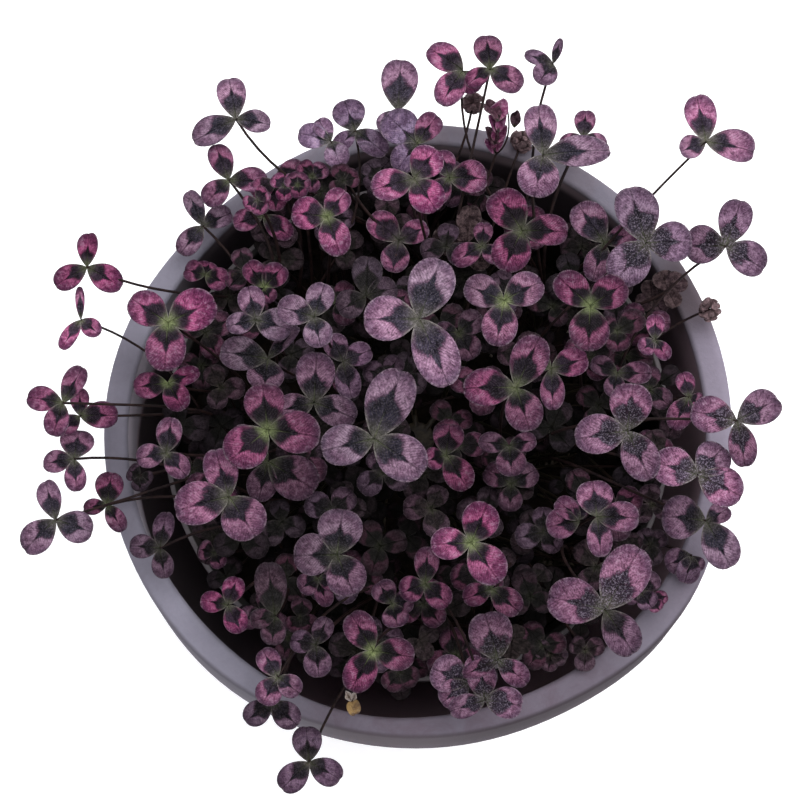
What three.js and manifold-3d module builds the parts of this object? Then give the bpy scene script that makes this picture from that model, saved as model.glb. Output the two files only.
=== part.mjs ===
// A purple-leaved clover, the true shamrock, growing in a nursery pot that stands in a round planter.
// Millimetres, +Z up. The origin is the middle of the planter's flat underside.

import * as THREE from "three";
import { mergeVertices } from "three/addons/utils/BufferGeometryUtils.js";
import Module from "manifold-3d";

const wasm = await Module();
wasm.setup();

// ---------------------------------------------------------------- driving dimensions

const TOUCH = 0.3; // clearance left between two pieces that rest on each other
const SLIVER = 0.05; // detail below this size is dropped where bodies are joined

const PLANTER = {
  rimRadius: 120.5,
  height: 186,
  baseRadius: 84,
  rimWall: 9,
  wall: 9,
  floor: 9,
  rimRound: 4,
  rimInnerRound: 2,
  footRound: 4,
  collar: 46, // depth of the nearly upright band under the rim
  collarRadius: 120.5,
  waist: { below: 80, radius: 117 }, // how the outside curves in below the collar
  inset: { height: 8, radius: 6 }, // the slope where the inside meets the floor
  drains: 3,
  drainRadius: 6,
  drainCircle: 42,
  segments: 40,
};

// The planter was cast by hand and isn't quite round. It is flatter at the back left and fuller at
// the front, and its wall is thicker at the sides than at the front. Each row holds the direction
// and spread of a change in degrees, and how far the rim's outside or its opening moves out, in mm.
const OUTSIDE_CHANGES = [
  { towards: 132, spread: 30, by: -5 },
  { towards: 232, spread: 22, by: 1.6 },
  { towards: 322, spread: 18, by: 3.5 },
];
const OPENING_CHANGES = [
  { towards: 15, spread: 30, by: -2 },
  { towards: 132, spread: 30, by: -5 },
  { towards: 155, spread: 25, by: -1.5 },
  { towards: 255, spread: 20, by: 2.4 },
];

const NURSERY = {
  rimRadius: 98,
  baseRadius: 70,
  height: 164,
  wall: 1.4,
  lip: 3.2,
  lipDepth: 5,
  drains: 5,
  drainRadius: 5,
  drainCircle: 46,
  segments: 36,
};

const SOIL = { top: 150, segments: 36 };

// The creeping stems run out from one crown. Each turns by the swirl on its way to the pot's side.
const STOLON = {
  count: 8,
  width: 2.6,
  crown: 7,
  reach: 80,
  swirl: 0.9,
  sides: 6,
  steps: 5,
  jointPitch: 6,
};

// How a leaf stalk bends. Between the two radii it changes from nearly upright to arching over the rim.
const STALK = {
  upright: { lean: 0.25, tilt: 1, start: 0.45, end: 0.3, outward: 0 },
  arching: { lean: 1.15, tilt: 0.15, start: 1.05, end: 0.4, outward: 22 },
  archFrom: 88,
  archTo: 112,
};

// Room kept free round a stalk, mm, and the number of points where it is tried.
const CLEAR = { blade: 1.6, bladeEdge: 1.5, stalk: 2.1, pot: 1.6, rimSide: 2.5, rimTop: 1.8, tries: 44 };

const PETIOLE = { radius: 0.8, sides: 4, steps: 5, joint: 1.1, jointHeight: 1.6 };

// A leaflet is two flat halves that meet along the midrib. The outline gives, from joint to tip, how
// far along the leaflet each edge point lies and how much of the half width it has.
const BLADE = {
  thickness: 0.7,
  fold: 0.12, // rise of each half for every mm away from the midrib
  outline: [
    [0.1, 0.32],
    [0.34, 0.84],
    [0.66, 1],
    [0.93, 0.6],
  ],
};

// The plan is 800 units square and is drawn as it looks from an eye above the front of the pot.
// A place on the plan and a height above the planter's rim together give one point in space.
const PLAN = {
  middle: 400,
  eyeDistance: 1000,
  elevation: THREE.MathUtils.degToRad(77.5),
  unitsPerRadian: 2613,
  aim: new THREE.Vector3(-6.7, 8.2, PLANTER.height),
};

const DOME = { height: 34, radius: 128, floor: 5 }; // how the leaf canopy rises to its middle
const LEVEL = 6.5; // height from one layer of leaves to the next

// Each leaf: where its three leaflets meet on the plan, its layer, how far its tips rise over that
// joint in mm, and the tip and width of each leaflet on the plan.
const LEAVES = [
  // past the rim at the back left
  [236, 119, 3, -2, [229, 78, 31], [193, 142, 31], [271, 125, 25]],
  [229, 180, 2, -1, [215, 144, 25], [268, 182, 28], [205, 205, 27]],
  [203, 226, 0, -1, [188, 191, 21], [232, 213, 26], [180, 255, 25]],
  // past the rim on the left
  [87, 267, 2, -2, [89, 233, 23], [55, 286, 26], [122, 288, 28]],
  [81, 320, 1, 1, [80, 286, 10], [100, 335, 20], [61, 350, 17]],
  [63, 403, 4, -2, [27, 397, 27], [83, 367, 25], [53, 437, 27]],
  [80, 416, 2, -1, [119, 416, 29], [62, 432, 22], [80, 388, 20]],
  [74, 459, 1, -2, [43, 464, 24], [77, 492, 23], [80, 430, 35]],
  [56, 520, 2, -3, [45, 481, 26], [24, 551, 32], [93, 533, 33]],
  [107, 505, 1, 0, [112, 472, 30], [124, 532, 20], [83, 509, 17]],
  [160, 548, 1, 0, [129, 546, 25], [165, 579, 23], [167, 511, 22]],
  // inside the rim on the left
  [168, 323, 3, 2, [130, 298, 37], [216, 301, 45], [165, 373, 42]],
  [168, 383, 2, 1, [133, 388, 28], [184, 411, 28], [200, 371, 20]],
  [166, 453, 2.3, 1, [172, 417, 27], [136, 460, 26], [187, 477, 26]],
  [268, 430, 5, 2, [262, 383, 43], [321, 438, 46], [228, 462, 46]],
  [229, 497, 4, 1, [174, 512, 47], [256, 538, 47], [215, 448, 36]],
  [256, 320, 3, 1, [248, 286, 28], [226, 327, 24], [292, 331, 36]],
  [268, 359, 2, 1, [219, 352, 36], [264, 391, 39], [299, 326, 16]],
  // the back of the pot
  [327, 217, 4, 1, [291, 213, 36], [346, 191, 28], [341, 257, 33]],
  [331, 141, 3, -1, [298, 133, 28], [341, 168, 28], [318, 119, 20]],
  [355, 131, 2, 1, [344, 100, 34], [387, 155, 27], [334, 152, 20]],
  [398, 111, 3, 1, [401, 59, 38], [412, 140, 28], [382, 134, 26]],
  [417, 144, 4, 0, [386, 114, 40], [396, 172, 30], [438, 115, 27]],
  [414, 179, 5, 2, [371, 191, 34], [437, 149, 36], [437, 212, 36]],
  [463, 71, 3, 1, [428, 48, 31], [440, 106, 31], [476, 93, 26]],
  [490, 69, 4, 1, [486, 35, 30], [466, 86, 20], [522, 89, 29]],
  [553, 64, 4, 3, [524, 54, 16], [561, 38, 10], [538, 84, 26]],
  [543, 155, 4, -1, [538, 105, 36], [534, 198, 46], [611, 150, 34]],
  [522, 231, 5, 1, [494, 192, 42], [569, 233, 34], [502, 272, 40]],
  // past the rim at the back right
  [706, 142, 4, -2, [696, 95, 33], [680, 152, 26], [755, 153, 36]],
  [726, 246, 3, -2, [741, 199, 34], [764, 270, 39], [685, 247, 44]],
  [646, 243, 4, 0, [629, 187, 46], [693, 243, 42], [614, 284, 45]],
  // the middle
  [419, 319, 5, 1, [441, 259, 48], [363, 320, 48], [449, 388, 47]],
  [314, 317, 5, 1, [325, 283, 29], [276, 307, 32], [321, 348, 31]],
  [314, 403, 3, 1, [317, 351, 40], [276, 412, 30], [357, 420, 34]],
  [374, 439, 4, 1, [403, 369, 50], [321, 452, 44], [424, 474, 48]],
  [504, 301, 4, 2, [464, 285, 35], [543, 281, 36], [496, 347, 37]],
  [590, 306, 5, 2, [556, 276, 36], [626, 283, 37], [588, 352, 42]],
  [516, 388, 5, 2, [462, 389, 39], [540, 336, 39], [530, 432, 39]],
  [627, 431, 4, 1, [633, 383, 44], [574, 440, 43], [650, 481, 39]],
  // the front left
  [337, 555, 4, 1, [343, 508, 46], [293, 556, 45], [354, 596, 42]],
  [373, 651, 4, 1, [350, 613, 35], [415, 658, 35], [350, 692, 35]],
  [278, 677, 2, 0, [262, 649, 26], [262, 705, 28], [300, 694, 26]],
  [309, 762, 1, -2, [306, 726, 31], [281, 790, 29], [341, 780, 29]],
  // the front
  [471, 543, 4, 2, [488, 503, 39], [430, 545, 34], [500, 583, 40]],
  [485, 700, 2, 0, [479, 662, 32], [449, 712, 26], [523, 706, 34]],
  [498, 660, 4, 1, [484, 612, 46], [528, 684, 26], [462, 676, 20]],
  // the front right
  [605, 610, 4, 0, [547, 597, 50], [640, 547, 50], [634, 655, 39]],
  [597, 517, 3, 1, [592, 480, 38], [640, 519, 33], [601, 558, 27]],
  [698, 475, 4, 0, [651, 462, 41], [724, 447, 38], [742, 497, 41]],
  [706, 521, 2, -1, [661, 516, 45], [731, 568, 39], [729, 508, 24]],
  [737, 421, 6, -1, [690, 411, 38], [779, 399, 37], [745, 468, 31]],
];

// A reddish leaf at the back that hasn't opened, with its leaflets still folded together.
const YOUNG_LEAF = [503, 158, 0, 24, [489, 104, 12], [503, 101, 13], [513, 112, 12]];

// A dry leaf that lies over the front rim, curled on its stalk.
const DEAD_LEAF = [352, 717, 0, 1.5, [350, 689, 16], [341, 703, 12], [363, 699, 12]];

// Spent flower heads: the middle of the head on the plan and its height over the rim in mm.
const FLOWER_HEADS = [
  { name: "flower_head_back", at: [472, 103], lift: 16 },
  { name: "flower_head_right", at: [708, 308], lift: 12 },
];
const FLOWER_HEAD = { radius: 4.2, length: 10, stalkRadius: 0.9, across: 8, down: 6 };

// ---------------------------------------------------------------- finishes

const finish = (color, roughness, metalness = 0) =>
  new THREE.MeshStandardMaterial({ color, roughness, metalness });

const FINISH = {
  planter: () => finish(0x8a8791, 0.62),
  nursery: () => finish(0x2b2a2b, 0.5),
  soil: () => finish(0x2b211b, 0.95),
  stolon: () => finish(0x5c4a3c, 0.6),
  leaf: () => finish(0x7c4a78, 0.5),
  youngLeaf: () => finish(0x7a3348, 0.5),
  dryLeaf: () => finish(0xa98c55, 0.85),
  flower: () => finish(0x5a453a, 0.9),
};

// ---------------------------------------------------------------- solids

const polar = (radius, angle, z = 0) =>
  new THREE.Vector3(radius * Math.cos(angle), radius * Math.sin(angle), z);

function solid(geometry) {
  const bare = geometry.clone();
  bare.deleteAttribute("normal");
  bare.deleteAttribute("uv");
  const merged = mergeVertices(bare, 1e-3);
  const mesh = new wasm.Mesh({
    numProp: 3,
    vertProperties: merged.attributes.position.array,
    triVerts: new Uint32Array(merged.index.array),
  });
  return new wasm.Manifold(mesh);
}

function geometryOf(body) {
  const mesh = body.getMesh();
  const geometry = new THREE.BufferGeometry();
  geometry.setAttribute("position", new THREE.BufferAttribute(mesh.vertProperties, 3));
  geometry.setIndex(new THREE.BufferAttribute(mesh.triVerts, 1));
  return geometry;
}

// Joins bodies into one and drops the slivers along their seams.
const joined = (bodies) => bodies.reduce((whole, body) => whole.add(body)).simplify(SLIVER);

// A profile of radius and height, turned round the Z axis.
function turned(profile, segments) {
  const points = profile.getPoints(2);
  return new THREE.LatheGeometry(points, segments).rotateX(Math.PI / 2);
}

// A tube whose section is a polygon with a flat on its upper side.
function tube(curve, radius, sides, steps) {
  const section = new THREE.Shape();
  for (let i = 0; i < sides; i++) {
    const angle = ((i + 0.5) * 2 * Math.PI) / sides;
    const x = radius * Math.cos(angle);
    const y = radius * Math.sin(angle);
    if (i === 0) section.moveTo(x, y);
    else section.lineTo(x, y);
  }
  section.closePath();
  return new THREE.ExtrudeGeometry(section, { steps, bevelEnabled: false, extrudePath: curve });
}

// Upright drain holes on a circle.
function drains(count, radius, circle, depth) {
  const holes = [];
  for (let i = 0; i < count; i++) {
    const at = polar(circle, ((i + 0.5) * 2 * Math.PI) / count);
    const hole = new THREE.CylinderGeometry(radius, radius, depth, 16).rotateX(Math.PI / 2);
    holes.push(solid(hole.translate(at.x, at.y, 0)));
  }
  return joined(holes);
}

// ---------------------------------------------------------------- plan to space

const ahead = new THREE.Vector3(0, Math.cos(PLAN.elevation), -Math.sin(PLAN.elevation));
const planUp = new THREE.Vector3(0, Math.sin(PLAN.elevation), Math.cos(PLAN.elevation));
const eye = PLAN.aim.clone().addScaledVector(ahead, -PLAN.eyeDistance);

function onSight(u, v, z) {
  const ray = ahead.clone().multiplyScalar(PLAN.unitsPerRadian);
  ray.x += u - PLAN.middle;
  ray.addScaledVector(planUp, PLAN.middle - v);
  return eye.clone().addScaledVector(ray, (z - eye.z) / ray.z);
}

const unitSize = (point) => point.clone().sub(eye).dot(ahead) / PLAN.unitsPerRadian;

function canopyHeight(u, v, level) {
  const over = onSight(u, v, PLANTER.height);
  const spread = Math.min(1, Math.hypot(over.x, over.y) / DOME.radius);
  return PLANTER.height + DOME.floor + DOME.height * (1 - spread * spread) + level * LEVEL;
}

// ---------------------------------------------------------------- pots and soil

// How much wider than round the planter's rim or its opening is in a direction, as a share.
function swelling(angle, changes) {
  let by = 0;
  for (const change of changes) {
    const off = angle - THREE.MathUtils.degToRad(change.towards);
    const turn = Math.atan2(Math.sin(off), Math.cos(off));
    by += change.by * Math.exp(-((turn / THREE.MathUtils.degToRad(change.spread)) ** 2));
  }
  return by / PLANTER.rimRadius;
}

function innerPlanterRadius(z) {
  const upper = PLANTER.height - PLANTER.collar;
  const slope = (PLANTER.collarRadius - PLANTER.baseRadius) / upper;
  return Math.min(PLANTER.baseRadius + slope * z, PLANTER.collarRadius) - PLANTER.wall;
}

// Moves the turned planter's walls in and out. The foot stays round, and the collar moves most.
function castByHand(geometry) {
  const points = geometry.attributes.position;
  for (let i = 0; i < points.count; i++) {
    const [x, y, z] = [points.getX(i), points.getY(i), points.getZ(i)];
    const onInside = Math.hypot(x, y) < innerPlanterRadius(z) + PLANTER.wall / 2;
    const changes = onInside ? OPENING_CHANGES : OUTSIDE_CHANGES;
    const share = Math.min(1, z / (PLANTER.height - PLANTER.collar));
    const scale = 1 + swelling(Math.atan2(y, x), changes) * share;
    points.setX(i, x * scale);
    points.setY(i, y * scale);
  }
  return geometry;
}

function planter() {
  const p = PLANTER;
  const inside = p.rimRadius - p.rimWall;
  const profile = new THREE.Path();
  profile.moveTo(0, 0);
  profile.lineTo(p.baseRadius - p.footRound, 0);
  profile.quadraticCurveTo(p.baseRadius, 0, p.baseRadius, p.footRound);
  const collarFoot = p.height - p.collar;
  profile.quadraticCurveTo(p.waist.radius, p.height - p.waist.below, p.collarRadius, collarFoot);
  profile.lineTo(p.rimRadius, p.height - p.rimRound);
  profile.quadraticCurveTo(p.rimRadius, p.height, p.rimRadius - p.rimRound, p.height);
  profile.lineTo(inside + p.rimInnerRound, p.height);
  profile.quadraticCurveTo(inside, p.height, inside, p.height - p.rimInnerRound);
  profile.lineTo(innerPlanterRadius(collarFoot), collarFoot);
  profile.lineTo(innerPlanterRadius(p.floor + p.inset.height), p.floor + p.inset.height);
  profile.lineTo(innerPlanterRadius(p.floor) - p.inset.radius, p.floor);
  profile.lineTo(0, p.floor);
  const body = solid(castByHand(turned(profile, p.segments)));
  return geometryOf(body.subtract(drains(p.drains, p.drainRadius, p.drainCircle, 3 * p.floor)));
}

const nurseryFloor = PLANTER.floor + TOUCH;
const nurseryRim = nurseryFloor + NURSERY.height;

function nurseryRadius(z) {
  const share = (z - nurseryFloor) / NURSERY.height;
  const top = NURSERY.rimRadius - NURSERY.lip;
  return THREE.MathUtils.lerp(NURSERY.baseRadius, top, share);
}

function nurseryPot() {
  const n = NURSERY;
  const underLip = nurseryRim - n.lipDepth;
  const profile = new THREE.Path();
  profile.moveTo(0, nurseryFloor);
  profile.lineTo(n.baseRadius, nurseryFloor);
  profile.lineTo(nurseryRadius(underLip), underLip);
  profile.lineTo(n.rimRadius, underLip);
  profile.lineTo(n.rimRadius, nurseryRim);
  profile.lineTo(nurseryRadius(nurseryRim) - n.wall, nurseryRim);
  profile.lineTo(n.baseRadius - n.wall, nurseryFloor + n.wall);
  profile.lineTo(0, nurseryFloor + n.wall);
  const body = solid(turned(profile, n.segments));
  const holes = drains(n.drains, n.drainRadius, n.drainCircle, 8 * n.wall);
  return geometryOf(body.subtract(holes.translate([0, 0, nurseryFloor])));
}

function pottingSoil() {
  const bottom = nurseryFloor + NURSERY.wall + TOUCH;
  const clear = NURSERY.wall + 2 * TOUCH;
  const profile = new THREE.Path();
  profile.moveTo(0, bottom);
  profile.lineTo(nurseryRadius(bottom) - clear, bottom);
  profile.lineTo(nurseryRadius(SOIL.top) - clear, SOIL.top);
  profile.lineTo(0, SOIL.top);
  return turned(profile, SOIL.segments);
}

// ---------------------------------------------------------------- creeping stems

const stolonAxis = SOIL.top + TOUCH + (STOLON.width / 2) * Math.cos(Math.PI / STOLON.sides);
const petioleFoot = stolonAxis + (STOLON.width / 2) * Math.cos(Math.PI / STOLON.sides) + TOUCH;

// A stolon leaves the crown and curves as it runs out to the side of the pot.
function stolonPoint(index, radius) {
  const turn = (index * 2 * Math.PI) / STOLON.count;
  return polar(radius, turn + (STOLON.swirl * radius) / STOLON.reach, stolonAxis);
}

function stolons() {
  const crown = new THREE.CylinderGeometry(STOLON.crown, STOLON.crown, STOLON.width * 0.8, 16);
  const bodies = [solid(crown.rotateX(Math.PI / 2).translate(0, 0, stolonAxis))];
  for (let i = 0; i < STOLON.count; i++) {
    const points = [];
    for (let s = 0; s <= 4; s++) {
      const radius = THREE.MathUtils.lerp(STOLON.crown - 2, STOLON.reach, s / 4);
      points.push(stolonPoint(i, radius));
    }
    const curve = new THREE.CatmullRomCurve3(points);
    bodies.push(solid(tube(curve, STOLON.width / 2, STOLON.sides, STOLON.steps)));
  }
  return geometryOf(joined(bodies));
}

// Leaf stalks rise from the joints along the stolons, and each joint carries one.
function stolonJoints() {
  const joints = [];
  for (let i = 0; i < STOLON.count; i++) {
    for (let r = STOLON.crown + 4; r < STOLON.reach - 1; r += STOLON.jointPitch) {
      joints.push(stolonPoint(i, r).setZ(petioleFoot));
    }
  }
  return joints;
}

// ---------------------------------------------------------------- leaves

// A leaflet from its joint to its tip. Each half of both faces is a fan from the tip.
function blade(hub, tip, width) {
  const along = tip.clone().sub(hub);
  const length = along.length();
  along.normalize();
  const across = new THREE.Vector3(0, 0, 1).cross(along).normalize();
  const facing = along.clone().cross(across);
  const right = BLADE.outline.map(([s, share]) => [s * length, (-share * width) / 2]);
  const left = right.map(([x, y]) => [x, -y]).reverse();
  const edge = [[length, 0], ...left, [0, 0], ...right];
  const count = edge.length;
  const positions = [0, BLADE.thickness].flatMap((lift) =>
    edge.flatMap(([x, y]) => [x, y, lift + BLADE.fold * Math.abs(y)]),
  );
  const index = [];
  for (let i = 1; i < count - 1; i++) {
    index.push(0, i + 1, i);
    index.push(count, count + i, count + i + 1);
  }
  for (let i = 0; i < count; i++) {
    const next = (i + 1) % count;
    index.push(i, next, count + next);
    index.push(i, count + next, count + i);
  }
  const geometry = new THREE.BufferGeometry();
  geometry.setAttribute("position", new THREE.Float32BufferAttribute(positions, 3));
  geometry.setIndex(index);
  const place = new THREE.Matrix4().makeBasis(along, across, facing).setPosition(hub);
  return { geometry: geometry.applyMatrix4(place), hub, along, across, facing, length, width };
}

// A leaf's joint and leaflets in space.
function setOut([u, v, level, rise, ...tips]) {
  const height = canopyHeight(u, v, level);
  const hub = onSight(u, v, height);
  const blades = tips.map(([tipU, tipV, width]) =>
    blade(hub, onSight(tipU, tipV, height + rise), width * unitSize(hub)),
  );
  return { hub, blades };
}

// The stalk rises from its joint on the stolon and leans over towards the leaf. A leaf past the rim
// has a stalk that arches over it.
function stalkCurve(foot, hub) {
  const arch = THREE.MathUtils.smoothstep(Math.hypot(hub.x, hub.y), STALK.archFrom, STALK.archTo);
  const blend = (key) => THREE.MathUtils.lerp(STALK.upright[key], STALK.arching[key], arch);
  const rise = hub.z - foot.z;
  const lean = new THREE.Vector3(hub.x, hub.y, 0).normalize().multiplyScalar(blend("lean"));
  lean.z = blend("tilt");
  lean.normalize();
  const start = foot.clone();
  start.z += rise * blend("start");
  const end = hub.clone().addScaledVector(lean, -(blend("end") * rise + blend("outward")));
  return new THREE.CubicBezierCurve3(foot, start, end, hub);
}

function nearBlade(point, b) {
  const from = point.clone().sub(b.hub);
  const outward = from.dot(b.along);
  if (outward < -CLEAR.bladeEdge || outward > b.length + CLEAR.bladeEdge) return false;
  const sideways = Math.abs(from.dot(b.across));
  const taper = Math.min(1, (2 * outward) / b.length);
  if (sideways > (b.width / 2) * taper + CLEAR.bladeEdge) return false;
  const lift = from.dot(b.facing) - BLADE.fold * sideways;
  return lift > -CLEAR.blade && lift < CLEAR.blade + BLADE.thickness;
}

function hitsPots(point) {
  const radius = Math.hypot(point.x, point.y);
  const nurseryTop = nurseryRim + CLEAR.rimTop;
  if (point.z < nurseryTop) return radius > nurseryRadius(point.z) - NURSERY.wall - CLEAR.pot;
  const angle = Math.atan2(point.y, point.x);
  const outside = PLANTER.rimRadius * (1 + swelling(angle, OUTSIDE_CHANGES));
  const turnedOpening = PLANTER.rimRadius - PLANTER.rimWall;
  const opening = turnedOpening * (1 + swelling(angle, OPENING_CHANGES));
  const pastInside = radius > opening - CLEAR.rimSide;
  const pastOutside = radius > outside + CLEAR.rimSide;
  return pastInside && !pastOutside && point.z < PLANTER.height + CLEAR.rimTop;
}

// Counts the samples of a stalk that come too near a leaflet, an earlier stalk or a pot.
function clashes(samples, own, blades, stalks) {
  let count = 0;
  for (const point of samples) {
    if (hitsPots(point)) count++;
    for (const b of blades) {
      if (b.hub !== own && nearBlade(point, b)) count++;
    }
    for (const stalk of stalks) {
      if (stalk.some((other) => other.distanceToSquared(point) < CLEAR.stalk ** 2)) count++;
    }
  }
  return count;
}

// Takes the free joint whose stalk meets nothing and is nearest below the leaf.
function takeJoint(hub, joints, blades, stalks) {
  let best = null;
  for (const foot of joints) {
    const curve = stalkCurve(foot, hub);
    const samples = curve.getPoints(CLEAR.tries);
    const sideways = Math.hypot(hub.x - foot.x, hub.y - foot.y);
    const cost = sideways + 1000 * clashes(samples, hub, blades, stalks);
    if (!best || cost < best.cost) best = { cost, foot, curve, samples };
  }
  joints.splice(joints.indexOf(best.foot), 1);
  stalks.push(best.samples);
  return best;
}

// The stalk ends in a small swollen joint that takes the roots of the three leaflets.
function leafGeometry(leaf, stalk) {
  const { radius, sides, steps, joint, jointHeight } = PETIOLE;
  const stem = solid(tube(stalk.curve, radius, sides, steps));
  const knob = new THREE.CylinderGeometry(joint, joint, jointHeight, 6).rotateX(Math.PI / 2);
  knob.translate(leaf.hub.x, leaf.hub.y, leaf.hub.z + BLADE.thickness / 2);
  return geometryOf(joined([stem, solid(knob), ...leaf.blades.map((b) => solid(b.geometry))]));
}

// ---------------------------------------------------------------- flower heads

function flowerHead(spec, joints, blades, stalks) {
  const f = FLOWER_HEAD;
  const middle = onSight(...spec.at, PLANTER.height + spec.lift);
  const stalk = takeJoint(middle, joints, blades, stalks);
  const head = new THREE.SphereGeometry(1, f.across, f.down).scale(
    f.radius,
    f.radius,
    f.length / 2,
  );
  const stem = tube(stalk.curve, f.stalkRadius, PETIOLE.sides, PETIOLE.steps);
  return geometryOf(solid(head.translate(middle.x, middle.y, middle.z)).add(solid(stem)));
}

// ---------------------------------------------------------------- the plant in its pots

const group = new THREE.Group();

function add(name, geometry, material) {
  const mesh = new THREE.Mesh(geometry, material);
  mesh.name = name;
  group.add(mesh);
}

add("planter", planter(), FINISH.planter());
add("nursery_pot", nurseryPot(), FINISH.nursery());
add("potting_soil", pottingSoil(), FINISH.soil());
add("stolons", stolons(), FINISH.stolon());

const joints = stolonJoints();
const stalks = [];
const leaves = LEAVES.map(setOut);
const young = setOut(YOUNG_LEAF);
const dead = setOut(DEAD_LEAF);
const allBlades = [...leaves, young, dead].flatMap((leaf) => leaf.blades);

function addLeaf(name, leaf, material) {
  const stalk = takeJoint(leaf.hub, joints, allBlades, stalks);
  add(name, leafGeometry(leaf, stalk), material);
}

for (const spec of FLOWER_HEADS) {
  add(spec.name, flowerHead(spec, joints, allBlades, stalks), FINISH.flower());
}
leaves.forEach((leaf, index) => {
  addLeaf("leaf_" + String(index + 1).padStart(2, "0"), leaf, FINISH.leaf());
});
addLeaf("young_leaf", young, FINISH.youngLeaf());
addLeaf("dead_leaf", dead, FINISH.dryLeaf());

export default group;
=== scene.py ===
import math
import random

import bpy
import numpy as np
from mathutils import Matrix, Vector, noise


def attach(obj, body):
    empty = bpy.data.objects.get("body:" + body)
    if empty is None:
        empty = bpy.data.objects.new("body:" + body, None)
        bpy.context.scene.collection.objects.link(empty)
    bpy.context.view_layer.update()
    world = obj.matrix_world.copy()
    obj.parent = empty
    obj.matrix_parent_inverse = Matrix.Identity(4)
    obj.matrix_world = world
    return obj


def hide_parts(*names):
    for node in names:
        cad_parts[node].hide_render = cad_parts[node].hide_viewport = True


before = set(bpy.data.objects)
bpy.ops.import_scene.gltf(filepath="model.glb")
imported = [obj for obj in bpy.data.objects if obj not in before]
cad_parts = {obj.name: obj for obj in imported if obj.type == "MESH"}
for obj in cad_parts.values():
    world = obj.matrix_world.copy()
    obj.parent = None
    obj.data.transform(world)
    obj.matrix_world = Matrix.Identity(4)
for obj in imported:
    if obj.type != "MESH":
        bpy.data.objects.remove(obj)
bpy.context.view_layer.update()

scene = bpy.context.scene

# ---- The eye
# The plant is laid out on a square plan, drawn as it looks from one eye above the front of the pot.
# The camera stands at that eye and sees just the plan.

RIM_HEIGHT = 0.186
PLAN_WIDTH = 800
PLAN_UNITS_PER_RADIAN = 2613
EYE_ELEVATION = math.radians(77.5)
EYE_DISTANCE = 1.0
AIM = Vector((-0.0067, 0.0082, RIM_HEIGHT))
SENSOR_WIDTH = 36
SIGHT_LIMIT = 20

ahead = Vector((0, math.cos(EYE_ELEVATION), -math.sin(EYE_ELEVATION)))
plan_up = Vector((0, math.sin(EYE_ELEVATION), math.cos(EYE_ELEVATION)))
eye = AIM - ahead * EYE_DISTANCE

bpy.ops.object.camera_add(location=eye, rotation=(math.pi / 2 - EYE_ELEVATION, 0, 0))
scene.camera = bpy.context.object
scene.camera.data.sensor_width = SENSOR_WIDTH
scene.camera.data.lens = SENSOR_WIDTH * PLAN_UNITS_PER_RADIAN / PLAN_WIDTH
scene.camera.data.clip_end = SIGHT_LIMIT

# ---- The studio
# A wide pale floor, lit through from below like a light table, under a ring of large soft panels that
# is strongest at the back right, and an even pale sky.

FLOOR_SIZE = 12
PANELS = [
    # place, width, power
    ((0.3, 0.4, 2.1), 1.4, 21),
    ((0.0, 1.6, 1.75), 1.3, 12),
    ((1.5, 0.7, 1.6), 1.2, 19),
    ((-1.45, 0.75, 1.7), 1.3, 9),
    ((1.3, -1.0, 1.6), 1.3, 12),
    ((-1.3, -1.0, 1.6), 1.3, 9),
]
SKY_STRENGTH = 0.36
FLOOR_GLOW = 0.42


def linear(level):
    """A screen's 0 to 255 level as the linear light that Blender works in."""
    if level < 11:
        return level / 255 / 12.92
    return ((level / 255 + 0.055) / 1.055) ** 2.4


def colour(red, green, blue):
    return (linear(red), linear(green), linear(blue), 1)


class Wire:
    """One value that runs through a material. Sums, products and powers of wires add Math nodes."""

    def __init__(self, finish, socket):
        self.finish = finish
        self.socket = socket

    def math(self, operation, *others):
        """A Math node with this wire as its first value."""
        sockets = dict(enumerate((self, *others)))
        return self.finish.node("ShaderNodeMath", {"operation": operation}, sockets)

    def __add__(self, other):
        return self.math("ADD", other)

    def __sub__(self, other):
        return self.math("SUBTRACT", other)

    def __rsub__(self, other):
        return self.finish.node("ShaderNodeMath", {"operation": "SUBTRACT"}, {0: other, 1: self})

    def __mul__(self, other):
        return self.math("MULTIPLY", other)

    def __truediv__(self, other):
        return self.math("DIVIDE", other)

    def __pow__(self, other):
        return self.math("POWER", other)

    def __abs__(self):
        return self.math("ABSOLUTE")

    __radd__ = __add__
    __rmul__ = __mul__

    def ramp(self, low, high):
        """0 below low, 1 above high, and smooth between. With low above high it falls instead."""
        sockets = {0: self, 1: min(low, high), 2: max(low, high)}
        rising = self.finish.node("ShaderNodeMapRange", {"interpolation_type": "SMOOTHSTEP"}, sockets)
        return rising if low <= high else 1 - rising


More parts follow.
